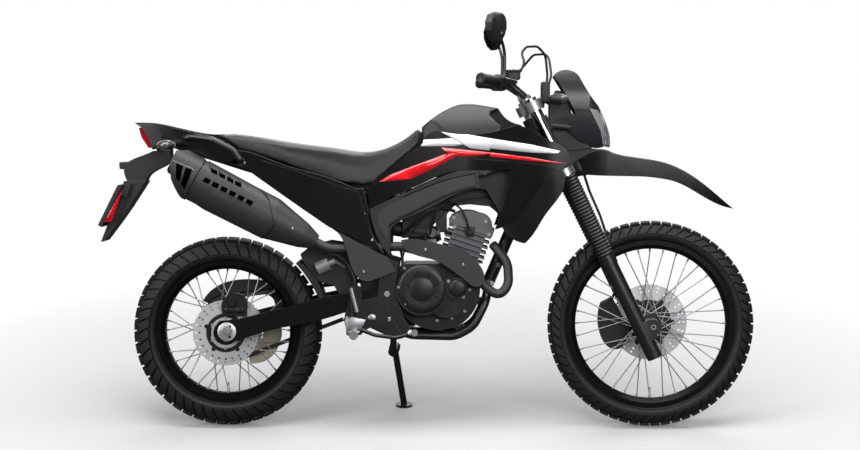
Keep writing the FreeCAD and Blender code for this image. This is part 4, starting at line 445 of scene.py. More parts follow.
def tube(points, radius, sides=3):  # a hose on one smooth line through the points given
    data = bpy.data.curves.new("hose", "CURVE")
    data.dimensions, data.resolution_u = "3D", 8
    data.bevel_depth, data.bevel_resolution, data.use_fill_caps = radius, sides, True
    spline = data.splines.new("NURBS")
    spline.points.add(len(points) - 1)
    for point, place in zip(spline.points, points):
        point.co = (*place, 1)
    spline.order_u, spline.use_endpoint_u = 3, True
    holder = bpy.data.objects.new("hose", data)
    mesh = bpy.data.meshes.new_from_object(holder)
    bm = fromMesh(mesh)
    bpy.data.objects.remove(holder)
    bpy.data.meshes.remove(mesh)
    bpy.data.curves.remove(data)
    return bm


def prism(outline, low, high, edge=0.0):  # a flat plate with an outline in the picture, from one depth to another
    bm = bmesh.new()
    face = bm.faces.new([bm.verts.new(spot(u, v, low)) for u, v in outline])
    grown = bmesh.ops.extrude_face_region(bm, geom=[face])
    bmesh.ops.translate(bm, vec=(0, high - low, 0), verts=newVerts(grown))
    faceOut(bm)
    if edge:
        bevelled(bm, bm.edges[:], edge)
    return bm


def mirroredToo(bm):  # the same on the other side
    other = bm.copy()
    bmesh.ops.scale(other, vec=(1, -1, 1), verts=other.verts)
    bmesh.ops.reverse_faces(other, faces=other.faces)
    return gather([bm, other])


chassis = gather([uprightCopy(name) for name in frame["record"]["behaviour"]["bodies"]["chassis"] if name in nodes])
chassisSkin = BVHTree.FromBMesh(chassis)
chassis.free()
sight = {"start": -0.45, "end": 0.3, "reach": 0.9}


def onSkin(u, v, hand=-1):  # where the line of sight through a picture point meets the chassis, on one side
    near, far = spot(u, v, sight["start"]), spot(u, v, sight["end"])
    if hand > 0:
        near.y, far.y = -near.y, -far.y
    hit = chassisSkin.ray_cast(near, (far - near).normalized(), sight["reach"])
    return hit[0], hit[1]


def toned(piece, tones):  # further paints by where a face's middle lies in the upright drawing
    upright = parked.inverted()
    for number, (paint, test) in enumerate(tones, 1):
        piece.data.materials.append(paints[paint])
        for face in piece.data.polygons:
            if test(upright @ face.center, upright.to_3x3() @ face.normal):
                face.material_index = number


moulding = {"sharp": 32, "flat": 1.5, "smooth": 38}  # degrees


def softened(node, paint, width, tones=(), shape=None):  # a node's form with its sharp edges rounded, width in mm
    bm = uprightCopy(node)
    if shape:
        shape(bm)
    flattened(bm, moulding["flat"])
    bevelled(bm, sharpEdges(bm, moulding["sharp"]), width * mm)
    first, *rest = node.split("_")
    name = first + "".join(word.capitalize() for word in rest) + "Moulded"
    piece = meshPiece(name, bm, paint, nodes[node]["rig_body"], (node,), smooth=moulding["smooth"], weigh=True)
    toned(piece, tones)


def outerSkin(node, hand, facing):  # the faces of a panel that look out on one side
    bm = uprightCopy(node)
    away = [f for f in bm.faces if f.normal.y * hand < facing or f.calc_center_median().y * hand < 0]
    bmesh.ops.delete(bm, geom=away, context="FACES")
    return bm


def thickened(bm, hand, lift, stand):  # a layer that stands a little off the skin it was taken from
    bmesh.ops.solidify(bm, geom=bm.faces[:], thickness=-lift)
    bmesh.ops.translate(bm, verts=bm.verts, vec=(0, hand * lift * stand, 0))
    faceOut(bm)


cutting = {"near": -0.30, "far": -0.03, "facing": 0.35, "stand": 0.12, "flat": 2, "sharp": 50}


def sightPrism(outline, hand):  # a picture outline carried along the lines of sight through one side of the machine
    bm = bmesh.new()
    face = bm.faces.new([bm.verts.new(spot(u, v, cutting["near"])) for u, v in outline])
    grown = bmesh.ops.extrude_face_region(bm, geom=[face])
    deeper = {tuple(round(c, 5) for c in spot(u, v, cutting["near"])): spot(u, v, cutting["far"]) for u, v in outline}
    for vert in newVerts(grown):
        vert.co = deeper[tuple(round(c, 5) for c in vert.co)]
    if hand > 0:
        bmesh.ops.scale(bm, vec=(1, -1, 1), verts=bm.verts)
    faceOut(bm)
    return bm


def inlay(name, node, hand, outlines, paint, lift, edge):  # a thin layer on a panel, cut to outlines in the picture
    skin = outerSkin(node, hand, cutting["facing"])
    bmesh.ops.remove_doubles(skin, verts=skin.verts, dist=2e-5)
    thickened(skin, hand, lift, cutting["stand"])
    parts = []
    for outline in outlines:
        layer, knife = linked("layer", skin.copy()), linked("knife", sightPrism(outline, hand))
        meet = layer.modifiers.new("meet", "BOOLEAN")
        meet.operation, meet.object, meet.solver = "INTERSECT", knife, "EXACT"
        applyAll(layer)
        parts.append(fromMesh(layer.data))
        for holder in (layer, knife):
            data = holder.data
            bpy.data.objects.remove(holder)
            bpy.data.meshes.remove(data)
    skin.free()
    bm = gather(parts)
    bmesh.ops.remove_doubles(bm, verts=bm.verts, dist=1e-5)
    if edge:
        flattened(bm, cutting["flat"])
        bevelled(bm, sharpEdges(bm, cutting["sharp"]), edge)
    meshPiece(name + sideName[hand], bm, paint, nodes[node]["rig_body"], smooth=moulding["smooth"], weigh=bool(edge))


# Panels, castings and housings whose shape is the frame's own, with their edges broken

edgesBroken = {  # node: (paint, width of the rounding in mm)
    "shrouds": ("glossBlackAbs", 1.5), "side_covers": ("glossBlackAbs", 1.5), "tail_fender": ("glossBlackAbs", 3.0),
    "front_fender": ("glossBlackAbs", 3.5), "frame_covers": ("matteBlackPolypropylene", 1.6),
    "foot_covers": ("grainedGreyPolypropylene", 1.6), "exhaust_shields": ("heatPaint", 1.4),
    "silencer": ("heatPaint", 2.0), "inner_fender": ("matteBlackPolypropylene", 2.0),
    "intake": ("matteBlackPolypropylene", 3.0),
    "instrument": ("matteBlackPolypropylene", 5.0), "crankcase": ("charcoalCasePaint", 4.0),
    "engine_covers": ("charcoalCasePaint", 3.0), "cylinder": ("sandCastAluminium", 0.9),
    "triple_clamps": ("silverCastAluminium", 2.0), "swingarm": ("glossBlackPaint", 3.5),
    "fork_lowers": ("satinBlackPowderCoat", 2.0), "front_caliper": ("satinBlackPowderCoat", 2.5),
    "rear_caliper": ("satinBlackPowderCoat", 2.5), "rear_shock": ("zincPlatedSteel", 1.5),
}
for node, (paint, width) in edgesBroken.items():
    softened(node, paint, width)

tankForm = {"voxel": 0.005, "passes": 3}


def makeTankCover():  # the tank's form with all its edges rounded over
    bm = uprightCopy("fuel_tank")
    bm.transform(parked)
    piece = linked("tankCover", bm)
    grid = piece.modifiers.new("grid", "REMESH")
    grid.mode, grid.voxel_size, grid.use_smooth_shade = "VOXEL", tankForm["voxel"], True
    ease = piece.modifiers.new("ease", "SMOOTH")
    ease.factor, ease.iterations = 0.5, tankForm["passes"]
    applyAll(piece)
    wear(piece, "tankCoverPolypropylene")
    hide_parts("fuel_tank")
    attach(piece, nodes["fuel_tank"]["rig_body"])


makeTankCover()

# A fork leg's foot, its distance from the middle, its rake, and how close the cowl's rings sit round it
legForm = {"foot": (1.2932, 0.5745), "side": 0.105, "rake": 26, "inside": 0.07, "ring": 0.0235, "ringReach": 0.05}


def slimRings(bm):
    x, z = legForm["foot"]
    rake = math.radians(legForm["rake"])
    way = Vector((-math.sin(rake), 0, math.cos(rake)))
    for vert in bm.verts:
        if abs(vert.co.y) < legForm["inside"]:
            continue
        foot = Vector((x, math.copysign(legForm["side"], vert.co.y), z))
        along = (vert.co - foot).dot(way)
        off = vert.co - foot - way * along
        if legForm["ring"] < off.length < legForm["ringReach"]:
            vert.co -= off.normalized() * (off.length - legForm["ring"])


# Each test takes a face's centre and its outward direction.
softened("headlight_cowl", "smokedScreen", 2.0, shape=slimRings, tones=[
    ("grainedGreyPolypropylene", lambda c, n: c.z < 1.056 or c.x < 1.095),
    ("vacuumChromedPlastic", lambda c, n: n.x > 0.5 and c.x > 1.225 and abs(c.y) < 0.058 and 0.945 < c.z < 1.075)])
softened("plate_bracket", "matteBlackPolypropylene", 1.6, [
    ("blankPlate", lambda c, n: n.x < -0.7 and 0.70 < c.z < 0.83)])
softened("foot_controls", "satinBlackPowderCoat", 1.5, [("silverCastAluminium", lambda c, n: abs(c.y) > 0.165)])
softened("chain_guards", "matteBlackPolypropylene", 1.5, [("beigeNylon", lambda c, n: c.z < 0.36)])
softened("rear_lights", "matteBlackPolypropylene", 1.2, [
    ("redAcrylic", lambda c, n: abs(c.y) < 0.05),
    ("smokedPolycarbonate", lambda c, n: abs(c.y) > 0.128 and n.x < 0.25)])
softened("front_signals", "matteBlackPolypropylene", 0.5, [
    ("smokedPolycarbonate", lambda c, n: abs(c.y) > 0.15 and c.x > 1.118)])

print("panels and castings ready")


# Tyres: a carcass with skewed trail blocks that reach the solid's own radius

tyres = {
    "front": {"radius": hubs["front"][2], "crown": 0.045, "bead": 0.270, "rimHalf": 0.0212, "pitches": 60,
              "skew": -0.12, "depth": 0.0088},
    "rear": {"radius": hubs["rear"][2], "crown": 0.060, "bead": 0.228, "rimHalf": 0.0302, "pitches": 48,
             "skew": 0.12, "depth": 0.0098},
    "columns": [(4, 20, 36), (40, 66, 92)],  # block edges in degrees round the crown
    "flank": ((0.35, 0.94), (0.62, 0.82), (0.66, 0.86), (0.70, 0.80), (0.86, 0.62), (1.0, 0.5)),  # shares in and out
    "flange": 0.012, "lip": 0.006, "gap": 0.0028, "wall": 0.0009,
    "straight": 30, "edge": 92.0,  # the tread is skewed from the first angle to the second
}


def tyreProfile(size, hub):  # (radius, side) pairs from one bead over the crown to the other
    carcass = size["crown"] - size["depth"]
    neck, inset = size["bead"] + tyres["flange"], size["rimHalf"]
    half = []
    for degrees in (0.0, 4, 20, 36, 40, 66, 92):
        turn = math.radians(degrees)
        half.append((hub + carcass * math.cos(turn), carcass * math.sin(turn)))
    for share, out in tyres["flank"]:
        half.append((hub + (neck - hub) * share, inset + (carcass - inset) * (out - 0.5) * 2))
    half += [(neck - tyres["lip"], inset), (size["bead"] + 0.001, inset)]
    return [(r, -y) for r, y in reversed(half[1:])] + half


def raiseBlocks(bm, size, hub, steps):  # faces that share a block are inset together and lifted to full tread depth
    blocks = {}
    for face in bm.faces:
        centre = face.calc_center_median()
        out = math.hypot(centre.x, centre.z)
        if out < hub - 0.004:
            continue
        bend = math.degrees(math.atan2(centre.y, out - hub))
        step = int(math.atan2(centre.z, centre.x) % math.tau / (math.tau / steps))
        for column, (low, middle, high) in enumerate(tyres["columns"]):
            if low < abs(bend) < high:
                blocks.setdefault((column, bend > 0, (step + column) % steps // 2), []).append(face)
    for faces in blocks.values():
        for inset, rise in ((tyres["gap"], 0), (tyres["wall"], size["depth"])):
            bmesh.ops.inset_region(bm, faces=faces, use_boundary=True, use_even_offset=True,
                                   thickness=inset, depth=rise)


def makeTyre(end):
    size = tyres[end]
    hub = size["radius"] - size["crown"]
    bm = bmesh.new()
    verts = [bm.verts.new((r, y, 0)) for r, y in tyreProfile(size, hub)]
    edges = [bm.edges.new(pair) for pair in zip(verts, verts[1:] + verts[:1])]
    steps = size["pitches"] * 2
    bmesh.ops.spin(bm, geom=verts + edges, cent=origin, axis=toLeft, angle=math.tau, steps=steps, use_merge=True)
    closeUp(bm)
    raiseBlocks(bm, size, hub, steps)
    for vert in bm.verts:  # skews the shoulders and keeps every block inside the crown's round
        out = math.hypot(vert.co.x, vert.co.z)
        bend = min(abs(math.degrees(math.atan2(vert.co.y, max(out - hub, 1e-6)))), tyres["edge"])
        turn = math.radians(max(bend - tyres["straight"], 0.0) * size["skew"])
        vert.co = Matrix.Rotation(turn, 3, "Y") @ vert.co
        grown = math.hypot(out - hub, vert.co.y)
        if grown > size["crown"] and out > hub:
            fit = size["crown"] / grown
            wide = (hub + (out - hub) * fit) / out
            vert.co = Vector((vert.co.x * wide, vert.co.y * fit, vert.co.z * wide))
    bm.transform(Matrix.Translation(hubs[end]))
    faceOut(bm)
    meshPiece(f"{end}TyreRubber", bm, "tyreRubber", f"{end}_wheel", (f"{end}_tyre",), smooth=28)


for end in hubs:
    makeTyre(end)
print("tyres ready")


# Printed film on the shrouds, cut out of the panel's own outer skin in convex patches

films = {
    "white": [
        [(421, 146), (423, 139.5), (452, 138), (463, 144), (456, 145.6)],
        [(438, 130.5), (470, 134.5), (490, 138), (490, 150), (470, 148), (463, 144), (452, 138)],
        [(490, 138), (530, 144), (560, 150.5), (557, 153), (530, 152), (490, 148)],
    ],
    "red": [
        [(379, 181.5), (390, 174.5), (410, 167), (430, 159.5), (448, 153), (455, 157.5), (445, 163), (430, 170),
         (415, 178), (400, 180)],
        [(448, 153), (441, 147), (460, 149), (490, 152), (490, 156.5), (470, 156), (455, 157.5)],
        [(490, 152), (530, 157), (566, 163), (530, 160.5), (490, 156.5)],
    ],
}
filmForm = {"lift": 0.0005, "stand": 0.2, "facing": 0.55, "plane": -0.15}


def cutConvex(bm, points):  # keeps what lies inside a convex outline drawn in the picture
    corners = [spot(u, v, filmForm["plane"]) for u, v in points]
    middle = sum(corners, Vector()) / len(corners)
    for a, b in zip(corners, corners[1:] + corners[:1]):
        side = Vector((b.z - a.z, 0, a.x - b.x)).normalized()
        if side.dot(a - middle) < 0:
            side = -side
        whole = bm.verts[:] + bm.edges[:] + bm.faces[:]
        bmesh.ops.bisect_plane(bm, geom=whole, plane_co=a, plane_no=side, clear_outer=True)


def makeFilm(name, hand):
    patches = []
    for points in films[name]:
        patch = outerSkin("shrouds", hand, filmForm["facing"])
        cutConvex(patch, points)
        patches.append(patch)
    bm = gather(patches)
    bmesh.ops.remove_doubles(bm, verts=bm.verts, dist=2e-4)
    thickened(bm, hand, filmForm["lift"], filmForm["stand"])
    meshPiece(f"{name}Film{sideName[hand]}", bm, f"{name}Film", smooth=0)


for hand in bothSides:
    for name in films:
        makeFilm(name, hand)
print("films ready")


# Seat: grained vinyl drawn over moulded foam, blown up a little by a short cloth run

seatForm = {"shrink": 0.0035, "corner": 0.017, "voxel": 0.0055, "pressure": 4.0, "stiffness": 12, "frames": 20,
            "cap": 0.0075, "smoothing": 6, "sharp": 40, "flank": 0.72, "pan": -0.3, "fill": 0.8}


def blowUp(piece):  # the cover swells under pressure; its underside stays on the pan
    start = [vert.co.copy() for vert in piece.data.vertices]
    pan = piece.vertex_groups.new(name="pan")
    pan.add([vert.index for vert in piece.data.vertices if vert.normal.z < seatForm["pan"]], 1.0, "REPLACE")
    cloth = piece.modifiers.new("cloth", "CLOTH")
    cloth.settings.use_pressure = True
    cloth.settings.uniform_pressure_force = seatForm["pressure"]
    cloth.settings.effector_weights.gravity = 0.0
    cloth.settings.vertex_group_mass = "pan"
    cloth.settings.tension_stiffness = cloth.settings.compression_stiffness = seatForm["stiffness"]
    cloth.point_cache.frame_start, cloth.point_cache.frame_end = 1, seatForm["frames"]
    for number in range(1, seatForm["frames"] + 1):
        scene.frame_set(number)
    applyAll(piece)
    scene.frame_set(1)
    for vert, old in zip(piece.data.vertices, start):
        move = vert.co - old
        if move.length > seatForm["cap"]:
            vert.co = old + move.normalized() * seatForm["cap"]


def makeSeat():
    bm = uprightCopy("seat")
    flattened(bm, 1)
    rims = [e for e in sharpEdges(bm, seatForm["sharp"]) if max(f.normal.z for f in e.link_faces) > 0.5]
    bevelled(bm, rims, seatForm["corner"], 4)
    piece = linked("seatCover", bm)
    bpy.context.view_layer.objects.active = piece
    remesh = piece.modifiers.new("remesh", "REMESH")
    remesh.mode, remesh.voxel_size = "VOXEL", seatForm["voxel"]
    shrink = piece.modifiers.new("shrink", "DISPLACE")
    shrink.strength, shrink.mid_level = -seatForm["shrink"], 0.0
    applyAll(piece)
    blowUp(piece)
    smooth = piece.modifiers.new("smooth", "SMOOTH")
    smooth.factor, smooth.iterations = 0.5, seatForm["smoothing"]
    applyAll(piece)
    piece.data.transform(parked)
    piece.data.polygons.foreach_set("use_smooth", [True] * len(piece.data.polygons))
    wear(piece, "pebbledVinylLitTop")
    # Faces turned to the side take the darker flank vinyl: painted shade on the seat's flanks.
    toned(piece, [("flankVinylShaded", lambda c, n: abs(n.y) > seatForm["flank"])])
    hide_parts("seat")
    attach(piece, "chassis")


makeSeat()
print("seat ready")


# Chain: side plates, rollers and pins along the run between the two sprockets; sizes in mm

chainForm = {
    "side": 74, "pitch": 15.875, "rearRadius": 108.7, "frontRadius": 33.2, "plateTall": 13, "plateThick": 1.7,
    "plateEnd": 0.42, "innerHalf": 4.2, "rollerRadius": 5.1, "pinRadius": 2.4, "teeth": 13, "sprocketThick": 6,
    "toothRing": (0.72, 0.98, 0.98, 0.72), "nut": [(0, 0), (17, 0), (17, 8), (12, 11), (0, 11)],
}
sprocketAt = spot(402.82, 287.17)


def onRing(centre, radius, turn):  # a point on a sprocket's pitch circle
    return centre + Vector((math.cos(turn), math.sin(turn))) * radius


def chainRun(length):  # a place along the loop from the top of the rear sprocket forward, and the loop's whole length
    rear, front = Vector((hubs["rear"][0], hubs["rear"][2])), sprocketAt.xz
    gap = front - rear
    span, angle = gap.length, math.atan2(gap.y, gap.x)
    big, small = chainForm["rearRadius"] * mm, chainForm["frontRadius"] * mm
    spread = math.asin((big - small) / span)
    straight = span * math.cos(spread)
    arcs = (small * (math.pi - 2 * spread), big * (math.pi + 2 * spread))
    total = 2 * straight + sum(arcs)
    top, low = angle + math.pi / 2 - spread, angle - math.pi / 2 + spread
    s = length % total
    if s < straight:
        return onRing(rear, big, top) + Vector((math.sin(top), -math.cos(top))) * s, total
    s -= straight
    if s < arcs[0]:
        return onRing(front, small, top - s / small), total
    s -= arcs[0]
    if s < straight:
        return onRing(front, small, low) + Vector((math.sin(low), -math.cos(low))) * s, total
    return onRing(rear, big, low - (s - straight) / big), total


def linkPlate(step, thick, tall):  # a side plate with round ends
    end = tall * chainForm["plateEnd"]
    plate = slab((-step / 2 - end, -thick / 2, -tall / 2), (step / 2 + end, thick / 2, tall / 2))
    corners = [e for e in plate.edges if abs(e.verts[0].co.y - e.verts[1].co.y) > thick * 0.9]
    bevelled(plate, corners, end, 3)
    return plate


def makeChain():
    total = chainRun(0)[1]
    links = round(total / (chainForm["pitch"] * mm) / 2) * 2
    step = total / links
    side, inner = chainForm["side"] * mm, chainForm["innerHalf"] * mm
    thick, tall = chainForm["plateThick"] * mm, chainForm["plateTall"] * mm
    rods = ((chainForm["rollerRadius"] * mm, inner), (chainForm["pinRadius"] * mm, inner + thick * 2.6))
    parts = []
    for number in range(links):
        place, after = chainRun(number * step)[0], chainRun((number + 1) * step)[0]
        middle, along = (place + after) / 2, (after - place).normalized()
        turn = Matrix.Rotation(-math.atan2(along.y, along.x), 4, "Y")
        out = inner + (thick * 1.15 if number % 2 else 0)
        for hand in bothSides:
            plate = linkPlate(step, thick, tall)
            plate.transform(Matrix.Translation((middle.x, side + hand * (out + thick / 2), middle.y)) @ turn)
            parts.append(plate)
        for radius, half in rods:
            rod = bmesh.new()
            bmesh.ops.create_cone(rod, cap_ends=True, segments=8, radius1=radius, radius2=radius, depth=half * 2)
            rod.transform(Matrix.Translation((place.x, side, place.y)) @ Matrix.Rotation(math.radians(90), 4, "X"))
            parts.append(rod)
    meshPiece("rollerChain", gather(parts), "oiledChainSteel", "chassis", ("drive_chain",), smooth=35)


def makeSprocket():
    disc = bmesh.new()
    ring = chainForm["toothRing"]
    bmesh.ops.create_circle(disc, cap_ends=True, segments=chainForm["teeth"] * len(ring), radius=1)
    for number, vert in enumerate(disc.verts):
        vert.co *= chainForm["frontRadius"] * mm * ring[number % len(ring)]
    bmesh.ops.solidify(disc, geom=disc.faces[:], thickness=chainForm["sprocketThick"] * mm)
    disc.transform(aimed(sprocketAt + Vector((0, 0.071, 0)), toLeft))
    nut = lathe(chainForm["nut"], sprocketAt + Vector((0, 0.073, 0)), toLeft, 6)
    meshPiece("frontSprocketWheel", gather([disc, nut]), "zincPlatedSteel", smooth=30)


makeChain()
makeSprocket()
print("chain ready")


# Fasteners

def screw(place, way, r, h, kind="cap"):  # cap: round head with a recess; hex: six sided with a washer; mm
    if kind == "hex":
        head = lathe([(0, 0), (r, 0), (r, h * 0.8), (r * 0.86, h), (0, h)], place, way, 6)
        washer = lathe([(0, -h * 0.2), (r * 1.35, -h * 0.2), (r * 1.35, h * 0.22), (0, h * 0.22)], place, way, 16)
        return gather([head, washer])
    profile = [(0, h * 0.35), (r * 0.5, h * 0.35), (r * 0.5, h * 0.95), (r * 0.72, h), (r * 0.92, h * 0.8),
               (r, h * 0.4), (r, -h * 0.3), (0, -h * 0.3)]
    return lathe(profile, place, way, 12)


fasteners = {  # name: (radius and height in mm, kind, sides, picture points)
    "coverScrews": (4.6, 4.0, "cap", bothSides, [(372.5, 239.6), (364, 271.4)]),
    "shieldScrews": (4.4, 3.4, "cap", rightSide, [(292.5, 228), (426, 249.3), (463.5, 264)]),
    "engineScrews": (4.2, 5.0, "hex", rightSide, [
        (448.6, 281), (463.6, 296.6), (398.8, 287), (405.6, 304), (404.4, 268), (437.4, 320.6), (452, 318),
        (465, 311), (470, 289.5)]),
    "engineScrewsLeft": (4.2, 5.0, "hex", leftSide, [
        (436, 270), (462, 272), (470, 292), (462, 312), (440, 320), (420, 312), (410, 292)]),
    "frameBolts": (6.5, 6.0, "hex", bothSides, [(498.4, 264.6), (491.8, 283), (388.6, 318.6), (410.6, 332.6)]),
    "pivotNuts": (11.0, 8.0, "hex", bothSides, [(387.2, 293.8)]),
    "restBolts": (7.0, 5.0, "cap", bothSides, [(372, 318), (347, 318.6)]),
    "seatBolts": (4.6, 4.0, "cap", bothSides, [(244.5, 162.6)]),
}
for name, (radius, tall, kind, hands, places) in fasteners.items():
    parts = []
    for hand in hands:
        for u, v in places:
            place, normal = onSkin(u, v, hand)
            if place:
                way = normal if abs(normal.y) > 0.8 else Vector((0, hand, 0))
                way = way if way.y * hand > 0 else -way
                parts.append(screw(place, way, radius, tall, kind))
    meshPiece(name, gather(parts), "zincPlatedSteel", smooth=35)
print("fasteners ready")


# Wheels: spoke nipples, valve stems, disc bolts

def looseParts(bm):  # the corners of each separate form, here one spoke
    left, parts = set(bm.verts), []
    while left:
        stack = [left.pop()]
        part = list(stack)
        while stack:
            for edge in stack.pop().link_edges:
                for vert in edge.verts:
                    if vert in left:
                        left.discard(vert)
                        stack.append(vert)
                        part.append(vert)
        parts.append(part)
    return parts


wheelTrim = {
    "nipple": [(0, 0), (3.3, 0), (3.3, 9), (2.4, 13), (0, 13)],
    "valve": [(0, 0), (4.2, 0), (4.2, 12), (3.0, 14), (3.0, 34), (0, 34)],
    "bolt": (5.5, 4.0), "bolts": 6, "sunk": 0.002,
    "front": {"bead": 0.253, "discSide": 0.0505, "boltRing": 0.060, "hand": 1},
    "rear": {"bead": 0.211, "discSide": -0.0745, "boltRing": 0.052, "hand": -1},
}


def makeWheelTrim(end):
    form, hub = wheelTrim[end], Vector(hubs[end])
    spokes = uprightCopy(f"{end}_spokes")
    parts = []
    for part in looseParts(spokes):
        far = max(part, key=lambda vert: (vert.co - hub).length).co
        near = min(part, key=lambda vert: (vert.co - hub).length).co
        way = (near - far).normalized()
        parts.append(lathe(wheelTrim["nipple"], far - way * wheelTrim["sunk"], way, 8))
    spokes.free()
    parts.append(lathe(wheelTrim["valve"], hub + Vector((0, 0, wheelTrim["sunk"] - form["bead"])), upward, 10))
    for number in range(wheelTrim["bolts"]):
        turn = math.tau * (number + 0.5) / wheelTrim["bolts"]
        reach = form["boltRing"]
        place = hub + Vector((math.cos(turn) * reach, form["discSide"], math.sin(turn) * reach))
        parts.append(screw(place, (0, form["hand"], 0), *wheelTrim["bolt"]))
    meshPiece(f"{end}WheelTrim", gather(parts), "zincPlatedSteel", f"{end}_wheel", smooth=35)


for end in hubs:
    makeWheelTrim(end)
print("wheel trim ready")


# Engine: turned covers, ribs and the parts behind the cylinder

engineForm = {
    "covers": [  # picture centre, side, reach of the ribs in metres, then (radius, height) in mm
        ((422, 289), -1, (0.045, 0.072), [(0, 9), (36, 9), (39, 7.5), (40, 5), (44, 5), (58, 6.5), (70, 6), (78, 3),
                                          (82, -2), (83, -8), (0, -8)]),
        ((458, 288), -1, None, [(0, 8), (20, 8), (24, 6.5), (28, 3), (29, -8), (0, -8)]),
        ((447, 292), 1, (0.045, 0.06192), [(0, 8), (34, 8), (38, 6), (42, 5), (62, 4), (70, 0), (71, -8), (0, -8)]),
    ],
    "ribs": 8, "ribHalf": 0.00175, "ribTall": 0.009,
    "boss": [(0, 7), (6, 7), (7, 5), (8, 5), (12, 4), (14, 0), (14, -12), (0, -12)],
    "headScrews": [(454, 217), (486, 221), (455, 226), (489, 234)],
    "recessShade": [(463.5, 226), (476, 226), (474, 236.5), (467, 236.5)],
    "plug": [(0, 14), (6, 14), (8, 10), (8, 0), (0, 0)],
}


def makeEngineCovers():
    parts = []
    for (u, v), hand, reach, profile in engineForm["covers"]:
        place, _ = onSkin(u, v, hand)
        parts.append(lathe(profile, place, (0, hand, 0), 48))
        for number in range(engineForm["ribs"] if reach else 0):
            half = engineForm["ribHalf"]
            rib = slab((reach[0], -half, 0), (reach[1], half, engineForm["ribTall"]), 0.001)
            turn = math.tau * (number + 0.5) / engineForm["ribs"]
            rib.transform(aimed(place, (0, hand, 0)) @ Matrix.Rotation(turn, 4, "Z"))
            parts.append(rib)
    meshPiece("turnedCovers", gather(parts), "charcoalCasePaint", smooth=32)


def makeCylinderTrim():
    place, _ = onSkin(448.4, 232.6)
    parts = [lathe(engineForm["boss"], place, toRight, 24)]
    for u, v in engineForm["headScrews"]:
        place, _ = onSkin(u, v)
        if place:
            parts.append(screw(place, toRight, 4.5, 5, "hex"))
    meshPiece("headTrim", gather(parts), "zincPlatedSteel", smooth=32)
    # A dark block in the plug's recess: painted shade of the hollow, with the plug cap on it.
    recessShade = prism(engineForm["recessShade"], -0.0685, -0.055, 0.001)
    plug = lathe(engineForm["plug"], origin, upward, 12)
    plug.transform(Matrix.Translation(spot(470, 232, -0.068)) @ Matrix.Rotation(math.radians(90), 4, "X"))
    meshPiece("plugCapAndRecessShade", gather([recessShade, plug]), "matteBlackPolypropylene", smooth=32)


engineHoses = {  # radius in mm, then picture points with how far out each lies in mm
    "plugLead": (3.5, [(470, 232, -74), (466, 214, -84), (456, 203, -70), (446, 200, -40)]),
    "breather": (5.5, [(455, 211, -30), (440, 205, -50), (426, 212, -62), (412, 224, -60), (402, 236, -50)]),
    "fuelLine": (4.0, [(452, 196, -40), (441, 205, -66), (433, 218, -70), (430, 234, -50)]),
    "clutchCable": (3.0, [(500, 190, -60), (486, 196, -76), (455, 200, -80), (425, 214, -76), (406, 240, -74),
                          (402, 262, -70)]),
    "loomLow": (5.0, [(401, 250, -60), (404, 262, -82), (399, 276, -88), (396, 292, -90), (398, 306, -86)]),
}
hoses = [tube([spot(u, v, y * mm) for u, v, y in route], radius * mm) for radius, route in engineHoses.values()]
meshPiece("engineHoses", gather(hoses), "mouldingRubber", smooth=60)

throttleForm = {
    "rings": [(0, 0), (24, 0), (25, 2), (25, 9), (21, 10), (21, 24), (26, 25), (26, 34), (22, 35), (22, 46), (26, 47),
              (26, 56), (0, 56)],
    "drum": [(0, 0), (15, 0), (15, 3), (11, 4), (11, 8), (15, 9), (15, 12), (0, 12)],
    "start": (424, 235.5), "line": ((420, 236), (446, 231)), "chamber": ((427, 246), (437, 238)), "half": 0.030,
}


def makeThrottleBody():
    rear, front = (spot(*point) for point in throttleForm["line"])
    body = lathe(throttleForm["rings"], spot(*throttleForm["start"]), (front - rear).normalized(), 28)
    low, high = (spot(*point) for point in throttleForm["chamber"])
    half = Vector((0, throttleForm["half"], 0))
    chamber = slab(low - half, high + half, 0.004)
    drum = lathe(throttleForm["drum"], spot(432, 232, -0.028), toRight, 24)
    meshPiece("throttleBody", gather([body, chamber, drum]), "sandCastAluminium", smooth=35)


makeEngineCovers()
makeCylinderTrim()
makeThrottleBody()
print("engine trim ready")


# Handlebar ends: ribbed grips, switch pods, perches, lever blades and the brake fluid cup

barForm = {
    "end": (481, 78, -0.408), "rise": (509, 83, -0.2244),  # two points of the right half, in the picture and out
    "grip": 0.120, "gripRadius": 16.5, "ribs": 14,
    "pod": ((-0.019, -0.021, 0.001), (0.019, 0.021, 0.040), 0.007, 3),  # blocks: two corners, rounding and its steps
    "button": ((-0.0205, -0.006, 0.010), (-0.016, 0.006, 0.022), 0.0015),
    "root": ((-0.010, -0.011, -0.009), (0.030, 0.011, 0.009), 0.004),
    "perchAt": 0.044, "rootAt": (0.012, 0.006), "holderAt": 0.014,  # along the bar, and ahead of it
    "pivot": 0.03366, "tip": 0.06358, "blade": 0.0056, "bend": ((0.18, 0.010), (0.55, 0.004)),
    "perch": [(0, 0), (17, 0), (18, 2), (18, 20), (16, 22), (0, 22)],
    "ball": [(0, -8), (5, -7), (8, -2), (8, 3), (5, 8), (0, 8)],
    "cables": {  # two points of each front cable where it comes to its lever holder, by hand
        -1: [(517, 75, -0.2064), (525, 64, -0.1968)], 1: [(510, 83, 0.216), (522, 68, 0.2016)]},
    "boot": 0.0055,
    "cupLow": (0.001, -0.010, 0.009), "cup": (0.044, 0.047, 0.034), "cupAt": 0.066, "lid": 0.008,
}


def barLine(hand):  # a grip's outer end and the direction along the bar from there
    end, rise = spot(*barForm["end"]), spot(*barForm["rise"])
    flip = Vector((1, -hand, 1))
    return end * flip, (rise - end).normalized() * flip


